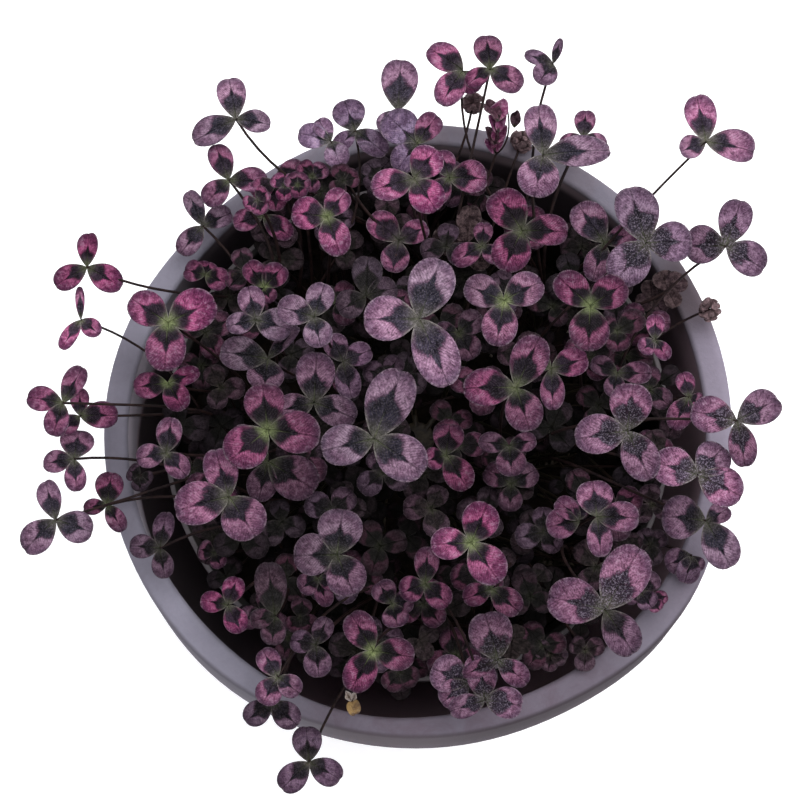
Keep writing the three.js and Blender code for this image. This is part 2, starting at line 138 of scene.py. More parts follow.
class Finish:
    """A material under construction, with one method that adds a node of any kind."""

    def __init__(self, name):
        self.material = bpy.data.materials.new(name)
        self.material.use_nodes = True
        self.tree = self.material.node_tree
        self.tree.nodes.clear()

    def node(self, kind, settings=None, sockets=None, out=0):
        made = self.tree.nodes.new(kind)
        for key, value in (settings or {}).items():
            setattr(made, key, value)
        for key, value in (sockets or {}).items():
            if isinstance(value, Wire):
                self.tree.links.new(value.socket, made.inputs[key])
            else:
                made.inputs[key].default_value = value
        return Wire(self, made.outputs[out])

    def mix(self, share, one, other):
        """One colour where the share is 0 and the other where it is 1."""
        return self.node("ShaderNodeMix", {"data_type": "RGBA"}, {0: share, 6: one, 7: other}, out=2)

    def tint(self, base, share):
        """The colour base made lighter or darker by a factor."""
        settings = {"data_type": "RGBA", "blend_type": "MULTIPLY"}
        grey = self.node("ShaderNodeCombineColor", None, {0: share, 1: share, 2: share})
        return self.node("ShaderNodeMix", settings, {0: 1.0, 6: base, 7: grey}, out=2)

    def place(self):
        return self.node("ShaderNodeTexCoord", None, None, out="Object")

    def grain(self, where, scale, detail=4.0, roughness=0.55, distortion=0.0):
        sockets = {
            "Vector": where,
            "Scale": scale,
            "Detail": detail,
            "Roughness": roughness,
            "Distortion": distortion,
        }
        return self.node("ShaderNodeTexNoise", None, sockets)

    def axis(self, where, index):
        return self.node("ShaderNodeSeparateXYZ", None, {0: where}, out=index)

    def bump(self, height, distance, strength):
        sockets = {"Height": height, "Distance": distance, "Strength": strength}
        return self.node("ShaderNodeBump", None, sockets)

    def close(self, **sockets):
        """Feeds the Principled shader and ends the material."""
        named = {key.replace("_", " "): value for key, value in sockets.items()}
        surface = self.node("ShaderNodeBsdfPrincipled", None, named)
        output = self.tree.nodes.new("ShaderNodeOutputMaterial")
        self.tree.links.new(surface.socket, output.inputs["Surface"])
        return self.material


def floor_finish():
    finish = Finish("studio_floor")
    where = finish.place()
    shade = finish.grain(where, 2.0) * 0.02 + 0.96
    base = finish.tint(colour(250, 250, 251), shade)
    glow = {"Emission_Color": base, "Emission_Strength": FLOOR_GLOW}
    return finish.close(Base_Color=base, Roughness=0.9, Specular_IOR_Level=0.1, **glow)


bpy.ops.object.select_all(action="DESELECT")
bpy.ops.mesh.primitive_plane_add(size=FLOOR_SIZE)
floor = bpy.context.object
floor.name = "studio_floor"
floor.data.materials.append(floor_finish())

for place, width, power in PANELS:
    bpy.ops.object.light_add(type="AREA", location=place)
    panel = bpy.context.object
    panel.data.size = width
    panel.data.energy = power
    panel.rotation_euler = (AIM - Vector(place)).to_track_quat("-Z", "Y").to_euler()

sky = bpy.data.worlds.new("studio_sky")
scene.world = sky
sky.use_nodes = True
sky_light = sky.node_tree.nodes["Background"]
sky_light.inputs["Color"].default_value = colour(250, 250, 255)
sky_light.inputs["Strength"].default_value = SKY_STRENGTH
scene.view_settings.view_transform = "Standard"

# ---- Planter
# One thick shell cast by hand in stone grey with a lilac tone. It tapers to a flat foot with drain
# holes and stands upright under a rounded rim. It isn't quite round: the rim is flatter at the back
# left and fuller at the front, and thicker at the sides than at the front.

PLANTER_FACETS = 128
PLANTER_RIM = 0.1205
PLANTER_BASE = 0.084
PLANTER_COLLAR_FOOT = 0.140
PLANTER_WALL = 0.009
PLANTER_RIM_ROUND = 0.004
PLANTER_RIM_INNER_ROUND = 0.002
PLANTER_FOOT_ROUND = 0.004
PLANTER_FLOOR = 0.009
PLANTER_FLOOR_CORNER = (0.006, 0.008)
PLANTER_WAIST = (0.117, 0.106)
PLANTER_INSIDE_RING = 0.08
PLANTER_SLOPE = (PLANTER_RIM - PLANTER_BASE) / PLANTER_COLLAR_FOOT
# number of drain holes, radius of their circle, radius of each
PLANTER_DRAINS = (3, 0.042, 0.006)
OUTSIDE_CHANGES = [
    # towards and spread in degrees, how far the rim moves out
    (132, 30, -0.005),
    (232, 22, 0.0016),
    (322, 18, 0.0035),
]
OPENING_CHANGES = [(15, 30, -0.002), (132, 30, -0.005), (155, 25, -0.0015), (255, 20, 0.0024)]


def arc(centre, radius, start, end, steps=6):
    """Points as (distance from the axis, height) round part of a circle, angles in degrees."""
    turns = (math.radians(start + (end - start) * i / steps) for i in range(steps + 1))
    return [(centre[0] + radius * math.cos(a), centre[1] + radius * math.sin(a)) for a in turns]


def bowed(start, middle, end, steps=10):
    """Points on a curve from start to end that is pulled towards middle."""
    shares = (i / steps for i in range(1, steps + 1))
    weights = (((1 - t) ** 2, 2 * t * (1 - t), t * t) for t in shares)
    return [tuple(a * p + b * q + c * r for p, q, r in zip(start, middle, end)) for a, b, c in weights]


def raise_rings(name, profile, facets):
    """A closed turned body: a disc at the first point of the profile, extruded ring by ring."""
    radius, height = profile[0]
    bpy.ops.object.select_all(action="DESELECT")
    bpy.ops.mesh.primitive_circle_add(
        vertices=facets, radius=radius, fill_type="NGON", location=(0, 0, height)
    )
    bpy.ops.object.transform_apply(location=True, rotation=True, scale=True)
    bpy.ops.object.mode_set(mode="EDIT")
    bpy.ops.mesh.select_all(action="SELECT")
    for wide, high in profile[1:]:
        bpy.ops.mesh.extrude_region_move(TRANSFORM_OT_translate={"value": (0, 0, high - height)})
        share = wide / radius
        bpy.ops.transform.resize(value=(share, share, 1), center_override=(0, 0, high))
        radius, height = wide, high
    bpy.ops.mesh.select_all(action="SELECT")
    bpy.ops.mesh.normals_make_consistent(inside=False)
    bpy.ops.object.mode_set(mode="OBJECT")
    body = bpy.context.object
    body.name = name
    return body


def drill(body, count, circle, radius, height, depth):
    """Upright holes on a circle, cut with the Boolean modifier."""
    drills = []
    for i in range(count):
        turn = (i + 0.5) * math.tau / count
        centre = (circle * math.cos(turn), circle * math.sin(turn), height)
        bpy.ops.mesh.primitive_cylinder_add(vertices=32, radius=radius, depth=depth, location=centre)
        drills.append(bpy.context.object)
    join(drills)
    cut = body.modifiers.new("drains", "BOOLEAN")
    cut.operation = "DIFFERENCE"
    cut.object = drills[0]
    settle(body)
    bpy.data.objects.remove(drills[0])


def join(objects):
    """Joins objects into the first of them."""
    bpy.ops.object.select_all(action="DESELECT")
    for one in objects:
        one.select_set(True)
    bpy.context.view_layer.objects.active = objects[0]
    bpy.ops.object.join()
    bpy.ops.object.transform_apply(location=True, rotation=True, scale=True)
    return objects[0]


def settle(body):
    """Applies the modifiers and leaves the object at the origin, with its place in its mesh."""
    bpy.ops.object.select_all(action="DESELECT")
    body.select_set(True)
    bpy.context.view_layer.objects.active = body
    for modifier in list(body.modifiers):
        bpy.ops.object.modifier_apply(modifier=modifier.name)
    bpy.ops.object.transform_apply(location=True, rotation=True, scale=True)


def coat(body, material):
    """Gives a body one finish all over."""
    body.data.materials.clear()
    body.data.materials.append(material)


def smooth(body, sharp_from=35):
    bpy.ops.object.select_all(action="DESELECT")
    body.select_set(True)
    bpy.context.view_layer.objects.active = body
    bpy.ops.object.shade_smooth_by_angle(angle=math.radians(sharp_from))


def planter_wall(height):
    """The inside radius of the planter at a height."""
    return min(PLANTER_BASE + PLANTER_SLOPE * height, PLANTER_RIM) - PLANTER_WALL


def planter_profile():
    foot = (PLANTER_BASE, PLANTER_FOOT_ROUND)
    collar_foot = (PLANTER_RIM, PLANTER_COLLAR_FOOT)
    round_at = RIM_HEIGHT - PLANTER_RIM_ROUND
    inside = PLANTER_RIM - PLANTER_WALL
    inner_round = PLANTER_RIM_INNER_ROUND
    corner_width, corner_height = PLANTER_FLOOR_CORNER
    corner = PLANTER_FLOOR + corner_height
    return [
        *arc((PLANTER_BASE - PLANTER_FOOT_ROUND, PLANTER_FOOT_ROUND), PLANTER_FOOT_ROUND, -90, 0, 4),
        *bowed(foot, PLANTER_WAIST, collar_foot, 14),
        *arc((PLANTER_RIM - PLANTER_RIM_ROUND, round_at), PLANTER_RIM_ROUND, 0, 90, 7),
        *arc((inside + inner_round, RIM_HEIGHT - inner_round), inner_round, 90, 180, 7),
        *((planter_wall(z), z) for z in (PLANTER_COLLAR_FOOT, PLANTER_INSIDE_RING, corner)),
        (planter_wall(PLANTER_FLOOR) - corner_width, PLANTER_FLOOR),
    ]


def swelling(turn, changes):
    """How much wider than round the planter's rim or its opening is in a direction, as a share."""
    moves = 0
    for towards, spread, by in changes:
        off = (math.degrees(turn) - towards + 180) % 360 - 180
        moves += by * math.exp(-((off / spread) ** 2))
    return moves / PLANTER_RIM


def cast_by_hand(body):
    """Moves the turned walls in and out. A UV map keeps the radius and height they were turned at."""
    mesh = body.data
    turned = mesh.uv_layers.new(name="Turned")
    for loop in mesh.loops:
        spot = mesh.vertices[loop.vertex_index].co
        turned.data[loop.index].uv = (spot.xy.length / PLANTER_RIM, spot.z / RIM_HEIGHT)
    for point in mesh.vertices:
        on_inside = point.co.xy.length < planter_wall(point.co.z) + PLANTER_WALL / 2
        changes = OPENING_CHANGES if on_inside else OUTSIDE_CHANGES
        share = min(1, point.co.z / PLANTER_COLLAR_FOOT)
        point.co.xy *= 1 + swelling(math.atan2(point.co.y, point.co.x), changes) * share


def stone_finish():
    finish = Finish("planter_stone")
    where = finish.place()
    turned = finish.node("ShaderNodeUVMap", {"uv_map": "Turned"})
    east = finish.axis(where, 0)
    north = finish.axis(where, 1)
    height = finish.axis(where, 2)
    radius = finish.axis(turned, 0) * PLANTER_RIM
    clouds = finish.grain(where, 14, 5, 0.6, 0.6)
    patches = finish.grain(where, 48, 6, 0.65, 1.2)
    specks = finish.grain(where, 420, 3, 0.7)
    pits = finish.grain(where, 1400, 2, 0.5)

    # the cast stone: clouds of two greys and random darker patches, with painted light and shade by side laid
    # over them: paler on the left, painted shade in brown at the front and in brown-grey at the back, and
    # lighter on the right
    base = finish.mix(clouds.ramp(0.3, 0.75), colour(116, 113, 125), colour(132, 129, 143))
    # painted light: paler on the left
    pale = east.ramp(-0.02, -0.06) * (0.6 + 0.4 * patches)
    base = finish.mix(pale * 0.38, base, colour(150, 147, 161))
    # painted shade: browner at the front
    brown = north.ramp(0.0, -0.1) * east.ramp(-0.062, -0.03) * east.ramp(0.095, 0.06)
    base = finish.mix(brown * (0.35 + 0.3 * patches.ramp(0.35, 0.65)), base, colour(92, 76, 86))
    # painted shade: brown-grey at the back
    back = north.ramp(0.06, 0.11) * (0.4 + 0.6 * patches.ramp(0.35, 0.65))
    base = finish.mix(back * 0.4, base, colour(116, 102, 106))
    base = finish.mix(patches.ramp(0.6, 0.78) * 0.3, base, colour(92, 82, 88))
    # painted light: lighter on the right
    base = finish.mix(east.ramp(0.085, 0.115) * 0.4, base, colour(142, 128, 144))

    # darker places: painted shade on the rim's outer edge at the left, darker and more mauve at the front
    # right, and painted shade on the band of wall under the front rim
    # painted shade on the rim's outer edge at the left
    side = east.ramp(-0.088, -0.105) * north.ramp(0.04, 0.022) * north.ramp(-0.078, -0.055)
    base = finish.mix(side * (0.2 + 0.3 * patches), base, colour(80, 76, 84))
    # darker and more mauve at the front right
    corner = east.ramp(0.03, 0.07) * north.ramp(-0.03, -0.06)
    base = finish.mix(corner * 0.35, base, colour(98, 86, 96))
    # painted shade on the band of outer wall under the front rim
    under_rim_shade = radius.ramp(0.1186, 0.1202) * height.ramp(0.09, 0.168) * north.ramp(-0.045, -0.085)
    under_rim_shade_tone = finish.mix(east.ramp(-0.06, -0.02), colour(92, 88, 96), colour(82, 74, 80))
    under_rim_shade_tone = finish.mix(east.ramp(0.0, 0.035), under_rim_shade_tone, colour(62, 55, 60))
    base = finish.mix(under_rim_shade * 0.9, base, under_rim_shade_tone)

    # the inside of the wall, all painted light and shade: a pale painted pool of light at the left just below
    # the rim with painted shade under it, darker painted shade at the back with a painted lit band just under
    # the rim there, and the plain wall tone, darker than the left, on the right and at the front
    outline = (height * PLANTER_SLOPE).math("MINIMUM", PLANTER_RIM - PLANTER_BASE)
    within = outline + PLANTER_BASE - radius
    inner_wall = within.ramp(0.0077, 0.0088) * height.ramp(0.1856, 0.182) * height.ramp(0.004, 0.008)
    west = east.ramp(-0.03, -0.08)
    # painted shade low on the left wall
    inside = finish.mix(west * height.ramp(0.152, 0.14), colour(184, 156, 168), colour(92, 80, 84))
    # painted light high on the left wall
    inside = finish.mix(west * height.ramp(0.143, 0.156), inside, colour(224, 214, 228))
    # painted shade at the back
    inside = finish.mix(north.ramp(0.02, 0.07), inside, colour(60, 50, 54))
    # painted light in a band just under the rim at the back
    inside = finish.mix(north.ramp(0.06, 0.1) * height.ramp(0.171, 0.18), inside, colour(150, 132, 138))
    base = finish.mix(inner_wall * 0.9, base, inside)

    # a painted shadow of the flower head on the right of the rim, and the grain all over
    flower_head_shadow = east.ramp(0.075, 0.105) * north.ramp(0.028, 0.046) * north.ramp(0.082, 0.06)
    base = finish.mix(flower_head_shadow * height.ramp(0.155, 0.182) * 0.75, base, colour(80, 68, 70))
    base = finish.tint(base, 0.9 + 0.2 * specks)
    rough = 0.68 + 0.2 * clouds + 0.1 * specks
    normal = finish.bump(specks * 0.6 + pits * 0.4 + clouds * 0.8, 0.0004, 0.5)
    return finish.close(Base_Color=base, Roughness=rough, Normal=normal, Specular_IOR_Level=0.06)


planter = raise_rings("planter_shell", planter_profile(), PLANTER_FACETS)
drill(planter, *PLANTER_DRAINS, PLANTER_FLOOR / 2, 3 * PLANTER_FLOOR)
cast_by_hand(planter)
smooth(planter)
coat(planter, stone_finish())
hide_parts("planter")
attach(planter, "root")

# ---- Nursery pot
# The grower's pot of thin dark plastic that the clover was raised in. It stands on the planter's floor,
# and its rim is a narrow rolled lip.

NURSERY_FLOOR = 0.0093
NURSERY_RIM = 0.1733
NURSERY_BASE = 0.070
NURSERY_TOP = 0.0948
NURSERY_LIP = 0.098
NURSERY_LIP_DEPTH = 0.005
NURSERY_LIP_ROUND = 0.0011
NURSERY_WALL = 0.0014
# how far the foot is cut in, the height of its edge, and the height where the wall starts
NURSERY_FOOT = (0.003, 0.0006, 0.003)
NURSERY_WALL_STEPS = 5
NURSERY_FACETS = 96
NURSERY_DRAINS = (5, 0.046, 0.005)


def nursery_wall(height):
    share = (height - NURSERY_FLOOR) / (NURSERY_RIM - NURSERY_FLOOR)
    return NURSERY_BASE + (NURSERY_TOP - NURSERY_BASE) * share


def nursery_profile():
    cut, edge, start = NURSERY_FOOT
    under_lip = NURSERY_RIM - NURSERY_LIP_DEPTH
    roll = NURSERY_LIP_ROUND
    steps = NURSERY_WALL_STEPS
    rise = under_lip - NURSERY_FLOOR - start
    heights = [NURSERY_FLOOR + start + rise * i / steps for i in range(steps + 1)]
    inner = nursery_wall(NURSERY_RIM) - NURSERY_WALL
    return [
        (NURSERY_BASE - cut, NURSERY_FLOOR),
        (NURSERY_BASE, NURSERY_FLOOR + edge),
        *((nursery_wall(z), z) for z in heights),
        (NURSERY_LIP - roll, under_lip),
        (NURSERY_LIP, under_lip + roll),
        *arc((NURSERY_LIP - roll, NURSERY_RIM - roll), roll, 0, 90, 4),
        *arc((inner + roll, NURSERY_RIM - roll), roll, 90, 180, 4),
        *((nursery_wall(z) - NURSERY_WALL, z) for z in reversed(heights[1:])),
        (NURSERY_BASE - NURSERY_WALL, NURSERY_FLOOR + NURSERY_WALL),
    ]


def grower_plastic_finish():
    finish = Finish("nursery_plastic")
    where = finish.place()
    dust = finish.grain(where, 60, 6, 0.7, 0.4)
    scuffs = finish.grain(where, 900, 2, 0.6)
    height = finish.axis(where, 2)
    base = finish.mix(dust.ramp(0.4, 0.75), colour(20, 18, 18), colour(40, 34, 32))
    east = finish.axis(where, 0)
    north = finish.axis(where, 1)
    radius = (east * east + north * north) ** 0.5
    # painted highlight: a pale line along the top of the rolled lip, uneven with the dust
    lip_highlight = height.ramp(0.1718, 0.1728) * radius.ramp(0.0958, 0.0966)
    base = finish.mix(lip_highlight * (0.4 + 0.6 * dust), base, colour(124, 118, 122))
    normal = finish.bump(scuffs, 0.0002, 0.4)
    return finish.close(Base_Color=base, Roughness=0.42 + 0.35 * dust, Normal=normal, Specular_IOR_Level=0.15)


nursery_pot = raise_rings("nursery_pot_shell", nursery_profile(), NURSERY_FACETS)
drill(nursery_pot, *NURSERY_DRAINS, NURSERY_FLOOR, 8 * NURSERY_WALL)
smooth(nursery_pot)
coat(nursery_pot, grower_plastic_finish())
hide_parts("nursery_pot")
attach(nursery_pot, "root")

# ---- Potting soil
# The root ball fills the nursery pot nearly to the rim: crumbly dark compost, held together by the
# roots. It is turned to the shape of the pot, and its top is then made uneven.

SOIL_TOP = 0.150
SOIL_BOTTOM = 0.011
SOIL_CLEARANCE = 0.0005
SOIL_SHOULDER = 0.004
SOIL_RINGS = 34
SOIL_FACETS = 96
SOIL_ROUGHNESS = 0.0022


def soil_profile():
    rim = nursery_wall(SOIL_TOP) - NURSERY_WALL - SOIL_CLEARANCE
    foot = nursery_wall(SOIL_BOTTOM) - NURSERY_WALL - SOIL_CLEARANCE
    shares = [0.995, *(1 - i / SOIL_RINGS for i in range(1, SOIL_RINGS))]
    top = [(rim * share, SOIL_TOP) for share in shares]
    return [(foot, SOIL_BOTTOM), (rim, SOIL_TOP - SOIL_SHOULDER), *top]


def crumble(body):
    """Pushes the top of the soil down unevenly, so that it never stands above the stems on it."""
    for point in body.data.vertices:
        if point.co.z > SOIL_TOP - 0.001:
            coarse = noise.noise(point.co * 120)
            fine = noise.noise(point.co * 420)
            point.co.z -= SOIL_ROUGHNESS * (0.5 + 0.32 * coarse + 0.3 * fine)
    body.data.update()


def compost_finish(name):
    finish = Finish(name)
    where = finish.place()
    clods = finish.grain(where, 160, 8, 0.7, 0.5)
    fibres = finish.grain(where, 900, 4, 0.75, 2.0)
    base = finish.mix(clods.ramp(0.3, 0.7), colour(12, 9, 8), colour(34, 26, 21))
    base = finish.mix(fibres.ramp(0.6, 0.8) * 0.3, base, colour(66, 52, 40))
    normal = finish.bump(clods + fibres * 0.5, 0.0015, 0.9)
    return finish.close(Base_Color=base, Roughness=0.78 + 0.2 * fibres, Normal=normal, Specular_IOR_Level=0.1)


soil = raise_rings("potting_compost", soil_profile(), SOIL_FACETS)
crumble(soil)
smooth(soil, 60)
coat(soil, compost_finish("compost"))
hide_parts("potting_soil")
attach(soil, "root")

# ---- Soil crumbs
# Loose crumbs of bark and a few pale grains of perlite lie on the compost, pressed into it a little.
# Each is a small ball, squashed and made uneven.

CRUMB_FIELD = 0.086
CRUMB_BED = 0.0012
BARK_CRUMBS = (395, (0.0008, 0.0026))
PERLITE_GRAINS = (25, (0.0007, 0.0015))
chance = random.Random(11)


def crumb_at(place, size):
    bpy.ops.mesh.primitive_ico_sphere_add(subdivisions=1, radius=size, location=place)
    crumb = bpy.context.object
    turn = (chance.random() * math.tau, chance.random() * math.tau, chance.random() * math.tau)
    crumb.rotation_euler = turn
    crumb.scale = (1, chance.uniform(0.5, 0.9), chance.uniform(0.35, 0.7))
    for point in crumb.data.vertices:
        point.co *= chance.uniform(0.75, 1.15)
    return crumb


def scatter_crumbs(name, count, sizes):
    crumbs = []
    for _ in range(count):
        radius = CRUMB_FIELD * math.sqrt(chance.random())
        turn = chance.random() * math.tau
        size = chance.uniform(*sizes)
        place = (radius * math.cos(turn), radius * math.sin(turn), SOIL_TOP - CRUMB_BED + size * 0.25)
        crumbs.append(crumb_at(place, size))
    crumbs[0].name = name
    return join(crumbs)


def perlite_finish():
    finish = Finish("perlite")
    where = finish.place()
    pores = finish.grain(where, 1500, 3, 0.6)
    base = finish.mix(pores.ramp(0.35, 0.7), colour(96, 90, 82), colour(140, 134, 124))
    return finish.close(Base_Color=base, Roughness=0.9, Normal=finish.bump(pores, 0.0006, 0.7))


bark_crumbs = scatter_crumbs("bark_crumbs", *BARK_CRUMBS)
coat(bark_crumbs, compost_finish("bark"))
perlite_grains = scatter_crumbs("perlite_grains", *PERLITE_GRAINS)
coat(perlite_grains, perlite_finish())
for crumbs in (bark_crumbs, perlite_grains):
    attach(crumbs, "root")

# ---- Creeping stems
# The stolons run out from one crown over the soil. Each has a swollen joint every few millimetres,
# and every leaf stalk rises from such a joint.

STOLONS = 8
STOLON_RADIUS = 0.0013
STOLON_AXIS = 0.1515
STOLON_CROWN = 0.007
STOLON_REACH = 0.080
STOLON_START = STOLON_CROWN - 0.002
STOLON_SWIRL = 0.9
STOLON_STEPS = 60
FIRST_JOINT = STOLON_CROWN + 0.004
JOINT_PITCH = 0.006
JOINT_SWELL = 0.25
STALK_STEPS = 18


def stolon_point(index, radius):
    """A stolon leaves the crown and curves as it runs out to the side of the pot."""
    turn = index * math.tau / STOLONS + STOLON_SWIRL * radius / STOLON_REACH
    return Vector((radius * math.cos(turn), radius * math.sin(turn), STOLON_AXIS))


def stem_tube(name, points, radii, sides, handles=None):
    """A round stem along points, or along one cubic curve when its two handles are given."""
    bpy.ops.curve.primitive_bezier_curve_add()
    stem = bpy.context.object
    stem.name = name
    curve = stem.data
    curve.dimensions = "3D"
    curve.splines.clear()
    if handles:
        spline = curve.splines.new("BEZIER")
        spline.bezier_points.add(1)
        for knot, place in zip(spline.bezier_points, points):
            knot.co = place
            knot.handle_left = place
            knot.handle_right = place
        spline.bezier_points[0].handle_right = handles[0]
        spline.bezier_points[1].handle_left = handles[1]
        spline.resolution_u = STALK_STEPS
        knots = spline.bezier_points
    else:
        spline = curve.splines.new("POLY")
        spline.points.add(len(points) - 1)
        for knot, place in zip(spline.points, points):
            knot.co = (*place, 1)
        knots = spline.points
    for knot, radius in zip(knots, radii):
        knot.radius = radius
    curve.bevel_depth = 1.0
    curve.bevel_resolution = sides
    curve.use_fill_caps = True
    bpy.ops.object.convert(target="MESH")
    return bpy.context.object


def stolon_thickness(radius):
    """A stolon gets thinner towards its end and is swollen at every joint."""
    phase = (radius - FIRST_JOINT) / JOINT_PITCH * math.tau
    swell = 1 + JOINT_SWELL * max(0, math.cos(phase)) ** 6
    return STOLON_RADIUS * swell * (0.86 - 0.25 * radius / STOLON_REACH)


def creeping_stems():
    reach = STOLON_REACH - STOLON_START
    radii = [STOLON_START + reach * step / STOLON_STEPS for step in range(STOLON_STEPS + 1)]
    thickness = [stolon_thickness(radius) for radius in radii]
    stems = []
    for i in range(STOLONS):
        points = [stolon_point(i, radius) for radius in radii]
        stems.append(stem_tube("stolon", points, thickness, 3))
    bpy.ops.mesh.primitive_uv_sphere_add(segments=20, ring_count=10, radius=1, location=(0, 0, STOLON_AXIS))
    crown = bpy.context.object
    crown.scale = (STOLON_CROWN, STOLON_CROWN, STOLON_RADIUS)
    return join([*stems, crown])


def stolon_finish():
    finish = Finish("stolon_skin")
    where = finish.place()
    streaks = finish.grain(where, 300, 5, 0.6, 1.0)
    base = finish.mix(streaks.ramp(0.3, 0.7), colour(34, 24, 20), colour(62, 52, 34))
    normal = finish.bump(streaks, 0.0004, 0.6)
    return finish.close(Base_Color=base, Roughness=0.5 + 0.2 * streaks, Normal=normal)


stems = creeping_stems()
stems.name = "creeping_stems"
smooth(stems, 50)
coat(stems, stolon_finish())
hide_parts("stolons")
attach(stems, "root")

# ---- Leaflet
# Every leaf has three leaflets of one shape: a wedge at the joint that widens to a broad round end.
# One leaflet is modelled flat, 1 long and 1 in half width, and gets its real thickness.

LEAFLET_THICKNESS = 0.0003
LEAFLET_WIDEST = 0.58
LEAFLET_SHOULDER = 0.78
LEAFLET_NOTCH = 0.016
LEAFLET_NOTCH_WIDTH = 0.06
# the share of the outline that is drawn, so that the joint's end stays open a little
LEAFLET_SPREAD = 0.985


def leaflet_edge(side):
    """The outline, from the tip at side 0 to the joint at side 1 or -1."""
    share = abs(side)
    if share < 0.5:
        turn = share * math.pi
        notch = LEAFLET_NOTCH * math.exp(-((share / LEAFLET_NOTCH_WIDTH) ** 2))
        along = LEAFLET_WIDEST + (1 - LEAFLET_WIDEST) * math.cos(turn) - notch
        across = math.sin(turn)
    else:
        turn = (share - 0.5) * math.pi
        along = LEAFLET_WIDEST * (2 - 2 * share)
        across = math.cos(turn) ** LEAFLET_SHOULDER
    return Vector((along, math.copysign(across, side), 0))


def make_leaflet(name, along, across):
    """A grid is drawn out into a fan from the joint, so that its far side becomes the whole outline."""
    bpy.ops.object.select_all(action="DESELECT")
    bpy.ops.mesh.primitive_grid_add(x_subdivisions=along, y_subdivisions=across, size=1)
    leaflet = bpy.context.object
    leaflet.name = name
    mesh = leaflet.data
    mesh.uv_layers[0].name = "Fan"
    for point in mesh.vertices:
        outward = point.co.x + 0.5
        point.co = leaflet_edge(point.co.y * 2 * LEAFLET_SPREAD) * outward
    blade = mesh.uv_layers.new(name="Blade")
    for loop in mesh.loops:
        spot = mesh.vertices[loop.vertex_index].co
        blade.data[loop.index].uv = (spot.x, spot.y / 2 + 0.5)
    bpy.ops.object.mode_set(mode="EDIT")
    bpy.ops.mesh.select_all(action="SELECT")
    bpy.ops.mesh.remove_doubles(threshold=1e-5)
    bpy.ops.mesh.normals_make_consistent(inside=False)
    bpy.ops.object.mode_set(mode="OBJECT")
    if mesh.polygons[0].normal.z < 0:
        mesh.flip_normals()
    thick = leaflet.modifiers.new("thickness", "SOLIDIFY")
    thick.thickness = LEAFLET_THICKNESS
    thick.offset = 0
    settle(leaflet)
    return leaflet


fine_leaflet = make_leaflet("fine_leaflet", 14, 26)
small_leaflet = make_leaflet("small_leaflet", 6, 12)

# ---- Leaf faces
# A satin purple leaf: a yellow-green heart at the joint, a dark slate blotch that points along the
# midrib, and a pink or mauve border. Fine veins slant out from the midrib. Painted light and shade lie
# over these colours: a pale painted sheen, painted shade in the midrib's crease and along the edge,
# a thin pale painted highlight on the edge, and a painted brightness for each leaflet.
# Each leaflet carries its own share of every colour in three attributes.

VEINS = 15
VEIN_SLANT = 0.42


def veins(finish, along, off, waver):
    """1 on each side vein and 0 between them. The veins slant from the midrib to the margin."""
    phase = (along - VEIN_SLANT * off + waver) * VEINS
    return finish.node("ShaderNodeMath", {"operation": "PINGPONG"}, {0: phase, 1: 0.5}) * 2


